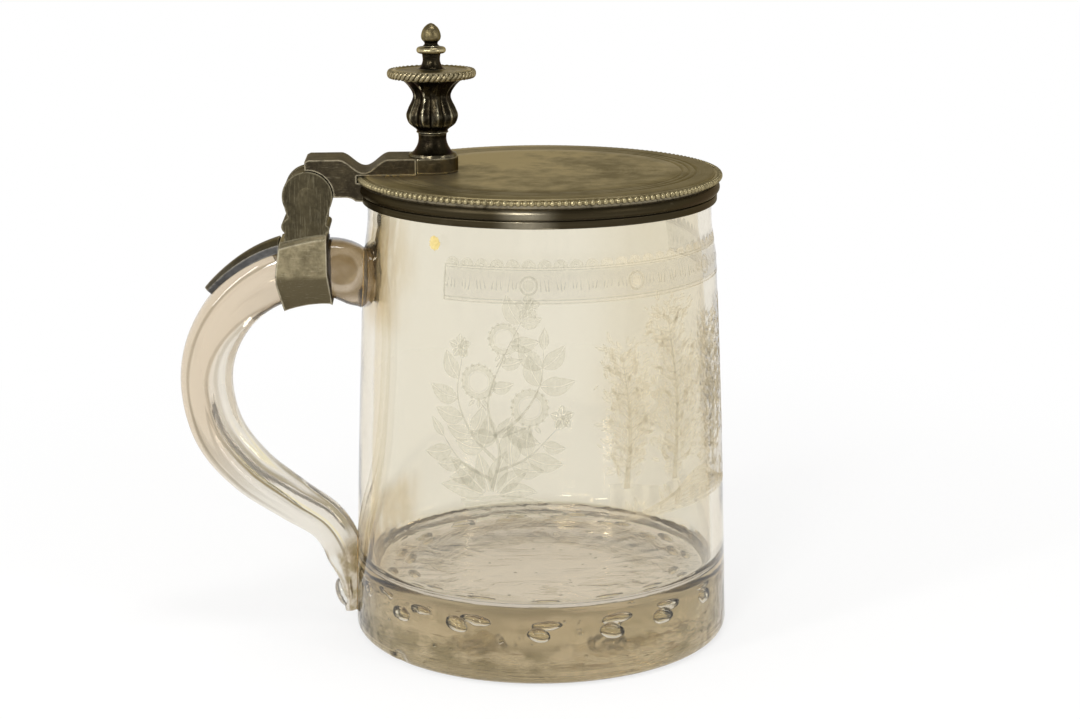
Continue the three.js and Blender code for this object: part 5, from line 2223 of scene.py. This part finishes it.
@dataclass
class Lid:
    """The flat lid, its skirt with moulding and lip, and the beaded wire."""

    silver: Silver
    lid_top: float
    plate: float = 1.6
    skirt_inner: float = 45.3
    skirt_outer: float = 45.8
    skirt_depth: float = 7.5
    lip_height: float = 1.9
    lip_width: float = 0.5
    moulding: Pair = (0.9, 2.7)
    bead: float = 0.8
    bead_ring: float = 46.9
    beads: int = 179
    reeds: tuple[float, ...] = (37.2, 39.0, 40.8)
    steps: int = 192

    def top_plate(self) -> Workpiece:
        """The plate, with turned lines and a soft outer edge.

        Returns:
            The plate.
        """
        top, under = self.lid_top, self.lid_top - self.plate
        profile: list[Pair] = [(0.0, under), (self.skirt_outer, under)]
        profile += arc(self.skirt_outer - 0.5, top - 0.55, 0.5, 0, 0.5, 6)
        for r in reversed(self.reeds):
            profile += [(r + 0.75, top), (r + 0.42, top - 0.02), (r + 0.16, top - 0.24), (r, top - 0.27)]
            profile += [(r - 0.16, top - 0.24), (r - 0.42, top - 0.02)]
        profile += [(33.0, top - 0.03), (22.0, top - 0.1), (10.0, top - 0.14), (0.0, top - 0.15)]
        return Workpiece.turned(profile, self.steps)

    def skirt(self) -> Workpiece:
        """The band outside the mug's rim, with its lower lip.

        Returns:
            The band.
        """
        low = self.lid_top - self.skirt_depth
        lip = low + self.lip_height
        edge = self.skirt_outer + self.lip_width
        profile = [
            (self.skirt_inner, low + 0.2), (self.skirt_inner + 0.2, low),
            *arc(edge - 0.4, low + 0.4, 0.4, -0.5, 0, 5), *arc(edge - 0.3, lip - 0.3, 0.3, 0, 0.4, 4),
            (self.skirt_outer, lip + 0.12), (self.skirt_outer, self.lid_top - self.plate),
            (self.skirt_inner, self.lid_top - self.plate)
        ]
        return Workpiece.turned(profile, self.steps, closed=True)

    def half_round(self) -> Workpiece:
        """The moulding round the skirt, a half round between two fine fillets.

        Returns:
            The moulding.
        """
        wide, tall = self.moulding
        bottom = self.lid_top - self.skirt_depth + self.lip_height + 0.3
        bulge = [
            (
                self.skirt_outer + 0.3 + wide * math.sin(math.pi * mix(0.06, 0.94, i / 16)) ** 0.8,
                bottom + tall * i / 16
            ) for i in range(17)
        ]
        profile = [
            (self.skirt_outer - 0.02, bottom - 0.05), *bulge, (self.skirt_outer - 0.02, bottom + tall + 0.1)
        ]
        return Workpiece.turned(profile, self.steps, closed=True)

    def bead_wire(self) -> Workpiece:
        """The beads, each a small ball, on a thin core.

        Returns:
            The wire with its beads.
        """
        height = self.lid_top - 0.25 - self.bead
        core = Workpiece.turned(
            arc(self.bead_ring - 0.2, height, 0.5, 0, 23 / 12, 12), self.steps, closed=True
        )
        fence = [
            (self.skirt_outer - 0.05, height - 0.6), (self.bead_ring - 0.3, height - 0.6),
            (self.bead_ring - 0.3, height + 0.35), (self.skirt_outer - 0.05, height + 0.55)
        ]
        core.add(Workpiece.turned(fence, self.steps, closed=True))
        matrix = Matrix.Translation((self.bead_ring, 0, height)) @ Matrix.Diagonal((1, 0.96, 1, 1))
        row = Workpiece().ball(matrix, 10, 7, self.bead)
        bmesh.ops.spin(
            row.bm, geom=[*row.bm.verts, *row.bm.edges, *row.bm.faces], cent=(0, 0, 0), axis=(0, 0, 1),
            dvec=(0, 0, 0), angle=TAU * (self.beads - 1) / self.beads, steps=self.beads - 1,
            use_merge=False, use_duplicate=True
        )
        core.add(row)
        return core

    def build(self) -> None:
        """Makes the four pieces of the lid."""
        silver = self.silver
        rows = (
            ("lid_top_plate", self.top_plate, silver.top, "lid_metal", "lid_plate", 50),
            ("lid_skirt_band", self.skirt, silver.rim, "dark_metal", "lid_skirt", 50),
            ("lid_half_round", self.half_round, silver.rim, "dark_metal", "lid_moulding", 50),
            ("lid_beads", self.bead_wire, silver.beads, "lid_metal", "lid_bead_wire", 60)
        )
        for name, make, finish, slot, node, sharp in rows:
            make().finish(name, [finish.material()], Body.LID, slot, [node], sharp=sharp)


@dataclass
class ThumbPiece:
    """The turned thumb-piece: block, foot, lobed vase, rope-edged disc, spool and acorn on a stud."""

    silver: Silver
    axis: float
    lid_top: float
    block_radius: float = 6.6
    block_length: float = 4.3
    block_height: float = 4.1
    foot_height: float = 5.8
    stem: float = 3.7
    vase_height: float = 14.3
    vase_top: float = 8.4
    vase_waist: float = 4.9
    vase_bulge: float = 6.75
    lobes: int = 10
    disc_radius: float = 10.3
    disc_height: float = 2.3
    strands: int = 50
    spool_height: float = 5.8
    spool: float = 3.0
    spool_waist: float = 2.25
    ring: float = 3.8
    acorn_height: float = 5.89
    acorn: float = 2.55
    acorn_neck: float = 1.7
    steps: int = 120

    def placed(self, piece: Workpiece) -> Workpiece:
        """Moves a piece from the upright axis to the thumb-piece's own."""
        return piece.moved(Matrix.Translation((self.axis, 0, 0)))

    def block(self) -> Workpiece:
        """The round-ended block.

        Returns:
            The block, on the upright axis.
        """
        back, wide = -self.block_length, self.block_radius
        outline = [(back, -wide), *arc(0, 0, wide, -0.5, 0.5, 36), (back, wide)]
        return Workpiece.slab([(x, y, self.lid_top) for x, y in outline], (0, 0, self.block_height))

    def flare(self, low: float) -> Workpiece:
        """The foot that flares from the stem onto the block.

        Args:
            low: the height of its lower end.

        Returns:
            The foot, on the upright axis.
        """
        tall, wide = self.foot_height, self.block_radius
        side = [
            (0.93 * wide, low + 0.1 * tall), (0.76 * wide, low + 0.2 * tall),
            (self.stem * 1.08, low + 0.48 * tall), (self.stem * 0.98, low + 0.75 * tall),
            (self.stem, low + tall)
        ]
        profile = [(0.0, low), (0.95 * wide, low), *smooth_line(side, 8), (0.0, low + tall)]
        return Workpiece.turned(profile, self.steps)

    def vase(self, low: float) -> Workpiece:
        """The vase with its lobes, which fade out at a ridge below and at the flared top.

        Args:
            low: the height of its lower end.

        Returns:
            The vase, on the upright axis.
        """
        top = low + self.vase_height
        side = [
            (self.stem, low), (self.stem * 1.12, low + 0.35), (self.stem * 1.08, low + 0.8),
            (0.9 * self.vase_bulge, mix(low, top, 0.18)), (self.vase_bulge, mix(low, top, 0.33)),
            (0.92 * self.vase_bulge, mix(low, top, 0.45)), (self.vase_waist, mix(low, top, 0.68)),
            (0.74 * self.vase_top, mix(low, top, 0.86)), (self.vase_top, top)
        ]
        profile = [(0.0, low), *smooth_line(side, 7), (0.0, top)]
        outside = self.stem * 0.9

        def lobe(point: Vector) -> Vector:
            """Draws the surface in between two lobes.

            Args:
                point: a point of the vase.

            Returns:
                Where it goes.
            """
            r = math.hypot(point.x, point.y)
            if r < outside:
                return point
            up = clamp((point.z - low - 0.9) / (self.vase_height - 0.9))
            depth = 0.2 * math.sin(math.pi * up ** 0.7) ** 0.6
            turn = math.atan2(point.y, point.x) * self.lobes / 2 + 0.35
            ridge = abs(math.cos(turn)) ** 0.7
            leaf = 0.035 * math.sin(math.pi * up) * abs(math.sin(turn * 2))
            scale = 1 - depth * (1 - ridge) - leaf
            return Vector((point.x * scale, point.y * scale, point.z))

        return Workpiece.turned(profile, 2 * self.steps).shaped(lobe)

    def disc(self, low: float) -> Workpiece:
        """The disc, slightly hollow on top, with a fine raised line inside its edge.

        Args:
            low: the height of its underside.

        Returns:
            The disc, on the upright axis.
        """
        top = low + self.disc_height
        r = self.disc_radius
        profile = [
            (0.0, low), (0.86 * r, low), (r + 0.2, low + 0.5), (r + 0.2, top - 0.6), (0.97 * r, top - 0.1),
            (0.9 * r, top), (0.87 * r, top - 0.16), (0.6 * r, top - 0.1), (0.0, top)
        ]
        return Workpiece.turned(profile, self.steps)

    def rope(self, low: float) -> Workpiece:
        """The twisted wire round the disc.

        Args:
            low: the height of the disc's underside.

        Returns:
            The rope, on the upright axis.
        """
        middle = low + self.disc_height / 2
        centre = self.disc_radius + 0.45
        section = [(centre + 0.75 * r, middle + 1.12 * z) for r, z in arc(0, 0, 1, 0, 31 / 16, 31)]

        def twist(point: Vector) -> Vector:
            """Draws the wire in between two strands.

            Args:
                point: a point of the rope.

            Returns:
                Where it goes.
            """
            r = math.hypot(point.x, point.y)
            tilt = math.atan2(point.z - middle, r - centre)
            turn = math.atan2(point.y, point.x) * self.strands / 2 - tilt * 0.95
            scale = 1 - 0.42 * (1 - abs(math.cos(turn)) ** 0.55)
            outer = centre + (r - centre) * scale
            return Vector((point.x / r * outer, point.y / r * outer, middle + (point.z - middle) * scale))

        return Workpiece.turned(section, 500, closed=True).shaped(twist)

    def spool_piece(self, low: float) -> Workpiece:
        """The waisted spool with the ring on it.

        Args:
            low: the height of its lower end.

        Returns:
            The spool, with the ring's faces marked.
        """

        def at(share: float) -> float:
            """A height on the spool."""
            return low + self.spool_height * share

        throat = smooth_line(
            [
                (self.spool * 1.25, at(0.0)), (self.spool, at(0.06)), (self.spool_waist, at(0.36)),
                (self.spool_waist * 1.06, at(0.66))
            ], 8
        )
        ring = arc(self.ring - 0.85, at(0.83), 0.85, -0.48, 0.48, 14)
        neck = (self.acorn_neck * 1.3, at(1.0))
        profile = [(0.0, at(0.0)), *throat, *ring, neck, (0.0, at(1.0))]
        piece = Workpiece.turned(profile, self.steps)
        for face in piece.bm.faces:
            face.material_index = int(at(0.68) < face.calc_center_median().z < at(0.98))
        return piece

    def acorn_piece(self, low: float) -> Workpiece:
        """The acorn on its neck.

        Args:
            low: the height of its lower end.

        Returns:
            The acorn, with its nut's faces marked.
        """

        def at(share: float) -> float:
            """A height on the acorn."""
            return low + self.acorn_height * share

        side = [
            (self.acorn_neck * 1.3, at(0.0)), (self.acorn_neck, at(0.1)),
            (self.acorn_neck * 1.05, at(0.17)), (self.acorn * 0.93, at(0.29)), (self.acorn, at(0.42)),
            (self.acorn * 0.93, at(0.6)), (self.acorn * 0.72, at(0.79)), (self.acorn * 0.36, at(0.94))
        ]
        profile = [(0.0, at(0.0)), *smooth_line(side, 6), (0.3, at(0.99)), (0.0, at(1.0))]
        piece = Workpiece.turned(profile, self.steps)
        for face in piece.bm.faces:
            face.material_index = int(face.calc_center_median().z > at(0.24))
        return piece

    def build(self) -> None:
        """Makes the pieces from the block up."""
        silver = self.silver
        foot = self.lid_top + self.block_height
        vase = foot + self.foot_height
        disc = vase + self.vase_height
        spool = disc + self.disc_height
        acorn = spool + self.spool_height
        stem = replace(silver.dark, name="stem_silver", rubbed_and_highlight=(0.2, 0.17, 0.11), edges=Edges.ROUNDED)
        dark, bright, worn = silver.dark, silver.bright, silver.worn
        rows = (
            ("thumb_block_silver", self.block(), silver.block, bright, "dark", "thumb_block", 0.3),
            ("thumb_flare", self.flare(foot), stem, bright, "dark", "thumb_foot", 0.0),
            ("thumb_lobed_vase", self.vase(vase), dark, bright, "dark", "thumb_vase", 0.0),
            ("thumb_plate", self.disc(disc), worn, bright, "lid", "thumb_disc", 0.0),
            ("thumb_rope", self.rope(disc), worn, bright, "lid", "thumb_rope_edge", 0.0),
            (
                "thumb_spool_ring", self.spool_piece(spool), dark, bright, "dark", "thumb_spool thumb_stud",
                0.0
            ), ("thumb_acorn", self.acorn_piece(acorn), dark, worn, "lid", "thumb_finial", 0.0)
        )
        for name, piece, first, second, metal, nodes, edge in rows:
            materials = [first.material(), second.material()]
            slot = f"{metal}_metal"
            self.placed(piece).finish(name, materials, Body.LID, slot, nodes.split(), sharp=40, edge=edge)


@dataclass
class Spot:
    """The dried amber spot on the glass under the lid."""

    form: MugForm
    turn: float = -37.2
    height: float = 111.2
    radius: float = 1.75
    film: Pair = (0.05, 0.11)
    dirt: DryDirt = field(
        default_factory=lambda: DryDirt("amber_spot", (0.62, 0.47, 0.13), (0.76, 0.62, 0.26), 2.0, 0.7)
    )

    def build(self) -> None:
        """Makes the spot as a thin uneven film."""
        chance = random.Random(5)
        piece = Workpiece()
        bmesh.ops.create_circle(piece.bm, cap_ends=True, cap_tris=True, segments=18, radius=self.radius)
        bmesh.ops.subdivide_edges(piece.bm, edges=piece.bm.edges, cuts=1, use_grid_fill=True)
        for v in piece.bm.verts:
            v.co *= chance.uniform(0.8, 1.12)
        made = bmesh.ops.extrude_face_region(piece.bm, geom=piece.bm.faces, use_keep_orig=True)["geom"]
        upper = set(verts_of(made))
        for v in piece.bm.verts:
            x, z = v.co.x, self.height + v.co.y
            r = self.form.radius(z) + self.film[v in upper]
            angle = math.radians(self.turn) + x / r
            v.co = (r * math.sin(angle), -r * math.cos(angle), z)
        bmesh.ops.recalc_face_normals(piece.bm, faces=piece.bm.faces)
        piece.finish("amber_spot", [self.dirt.material()], Body.MUG, "packing")


@dataclass
class Studio:
    """A plain pale floor, soft lamps and the photograph's camera."""

    camera_at: Colour = (-0.0230, -0.5720, 0.2121)
    pitch: float = 13.69
    turn: float = -2.3
    roll: float = -0.23
    lens: float = 73.78
    floor_white: float = 0.72
    shadow_reach: Pair = (90.0, 330.0)
    daylight: float = 0.75
    ceiling: Pair = (0.22, 0.7)
    ceiling_dim: float = 0.75
    front_dim: float = 0.5
    glass_share: float = 0.35
    warm_dim: Colour = (1.0, 0.72, 0.4)

    def surround(self) -> None:
        """White all round, but metal and glass see a dim ceiling and a dim front."""
        paint = Paint("surround", surround=True)
        path = paint.node("ShaderNodeLightPath", {}, {})
        seen = Signal(paint, path.outputs["Is Camera Ray"])
        through = Signal(paint, path.outputs["Is Transmission Ray"])
        mirrored = Signal(paint, path.outputs["Is Glossy Ray"]).larger(through)
        way = paint.node("ShaderNodeTexCoord", {}, {}).outputs["Generated"]
        _, y, z = paint.parts(way)
        ceiling = z.step(*self.ceiling) * self.ceiling_dim
        front = (y * -1.0).step(0.2, 0.8) * z.step(-0.1, 0.1) * self.front_dim
        dim = (1 - (1 - ceiling) * (1 - front)) * (1 - through * (1 - self.glass_share))
        level = mirrored * (1 - dim) + (1 - mirrored.larger(seen)) * self.daylight + seen
        colour = paint.blend(through * (1 - level).limited(), (1.0, 1.0, 1.0), self.warm_dim)
        glow = paint.node("ShaderNodeBackground", {}, {"Color": colour, "Strength": level})
        paint.node("ShaderNodeOutputWorld", {}, {"Surface": glow.outputs[0]})
        bpy.context.scene.world = paint.owner

    def floor(self) -> None:
        """A pale floor, white to the camera further off, that keeps a soft shadow near the tankard."""
        paint = Paint("pale_floor")
        path = paint.node("ShaderNodeLightPath", {}, {})
        seen = Signal(paint, path.outputs["Is Camera Ray"])
        for kind in ("Is Glossy Ray", "Is Transmission Ray"):
            seen = seen.larger(Signal(paint, path.outputs[kind]))
        x, y, _ = paint.parts(paint.place())
        away = x.span(y).step(*self.shadow_reach)
        share = seen * (away * (1 - self.floor_white) + self.floor_white)
        paper = paint.surface(
            {"Base Color": (0.86, 0.855, 0.84), "Roughness": 0.8, "Specular IOR Level": 0.2}
        )
        white = paint.node("ShaderNodeEmission", {}, {"Color": (1, 1, 1, 1), "Strength": 1.0})
        shader = paint.node("ShaderNodeMixShader", {}, {0: share, 1: paper.outputs[0], 2: white.outputs[0]})
        material = paint.done(shader.outputs[0])
        bm = bmesh.new()
        bmesh.ops.create_grid(bm, x_segments=1, y_segments=1, size=6.0)
        mesh = bpy.data.meshes.new("floor")
        bm.to_mesh(mesh)
        bm.free()
        mesh.materials.append(material)
        floor = bpy.data.objects.new("floor", mesh)
        floor.location = (0, 0, -0.0002)
        bpy.context.scene.collection.objects.link(floor)

    def lamp(self, name: str, at: Colour, size: Pair, power: float) -> None:
        """A soft box that faces the tankard.

        Args:
            name: the lamp's name.
            at: its place in metres.
            size: its width and height in metres.
            power: its power in watts.
        """
        data = bpy.data.lights.new(name, "AREA")
        data.shape = "RECTANGLE"
        data.size, data.size_y = size
        data.energy = power
        lamp = bpy.data.objects.new(name, data)
        lamp.location = at
        lamp.rotation_euler = (Vector((0, 0, 0.08)) - Vector(at)).to_track_quat("-Z", "Y").to_euler()
        lamp.visible_camera = False
        bpy.context.scene.collection.objects.link(lamp)

    def camera(self) -> None:
        """The camera as fitted to the photograph."""
        data = bpy.data.cameras.new("camera")
        data.lens = self.lens
        data.sensor_width = 36
        data.clip_start, data.clip_end = 0.01, 50
        camera = bpy.data.objects.new("camera", data)
        matrix = (
            Matrix.Translation(self.camera_at) @ Matrix.Rotation(math.radians(self.turn), 4, "Z")
            @ Matrix.Rotation(math.radians(90 - self.pitch), 4, "X")
            @ Matrix.Rotation(math.radians(self.roll), 4, "Z")
        )
        camera.matrix_world = matrix
        bpy.context.scene.collection.objects.link(camera)
        bpy.context.scene.camera = camera

    def build(self) -> None:
        """Sets up the surround, the floor, the lamps and the camera."""
        bpy.context.scene.view_settings.view_transform = "Standard"
        self.camera()
        self.surround()
        self.floor()
        self.lamp("key", (-0.62, -0.5, 0.5), (0.08, 0.4), 2.2)
        self.lamp("front", (-0.3, -0.85, 0.5), (0.2, 0.2), 3.6)
        self.lamp("fill", (0.7, -0.55, 0.5), (0.08, 0.4), 1.2)
        self.lamp("overhead", (0.1, -0.15, 0.9), (0.35, 0.12), 1.5)


def main() -> None:
    """Builds the tankard, sub-assembly by sub-assembly, and the studio round it."""
    logging.basicConfig(level=logging.INFO, format="%(name)s: %(message)s")
    pin = Vector(frame["joints"][0]["pos_m"]) / MM
    lid_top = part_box("lid_plate")[1].z / MM
    lid_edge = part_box("lid_bead_wire")[1].x / MM
    block_low, block_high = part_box("thumb_block")
    axis = block_high.x / MM - ThumbPiece.block_radius
    mug = MugForm()
    bow_line = Bow(BowForm(mug))
    silver = Silver()
    studio = Studio()
    lid = Lid(silver, lid_top)
    parts = (
        studio, GlassMug(mug, bow_line), Engraving(mug), Spot(mug), Collar(bow_line, silver, pin),
        HingeBlock(bow_line, silver, pin),
        Arm(silver, pin, lid_top, lid_edge, lid.skirt_outer, block_low.x / MM, block_high.z / MM), lid,
        ThumbPiece(silver, axis, lid_top)
    )
    for part in parts:
        part.build()
        LOG.info("%s done", type(part).__name__)


if __name__ == "__main__":
    main()
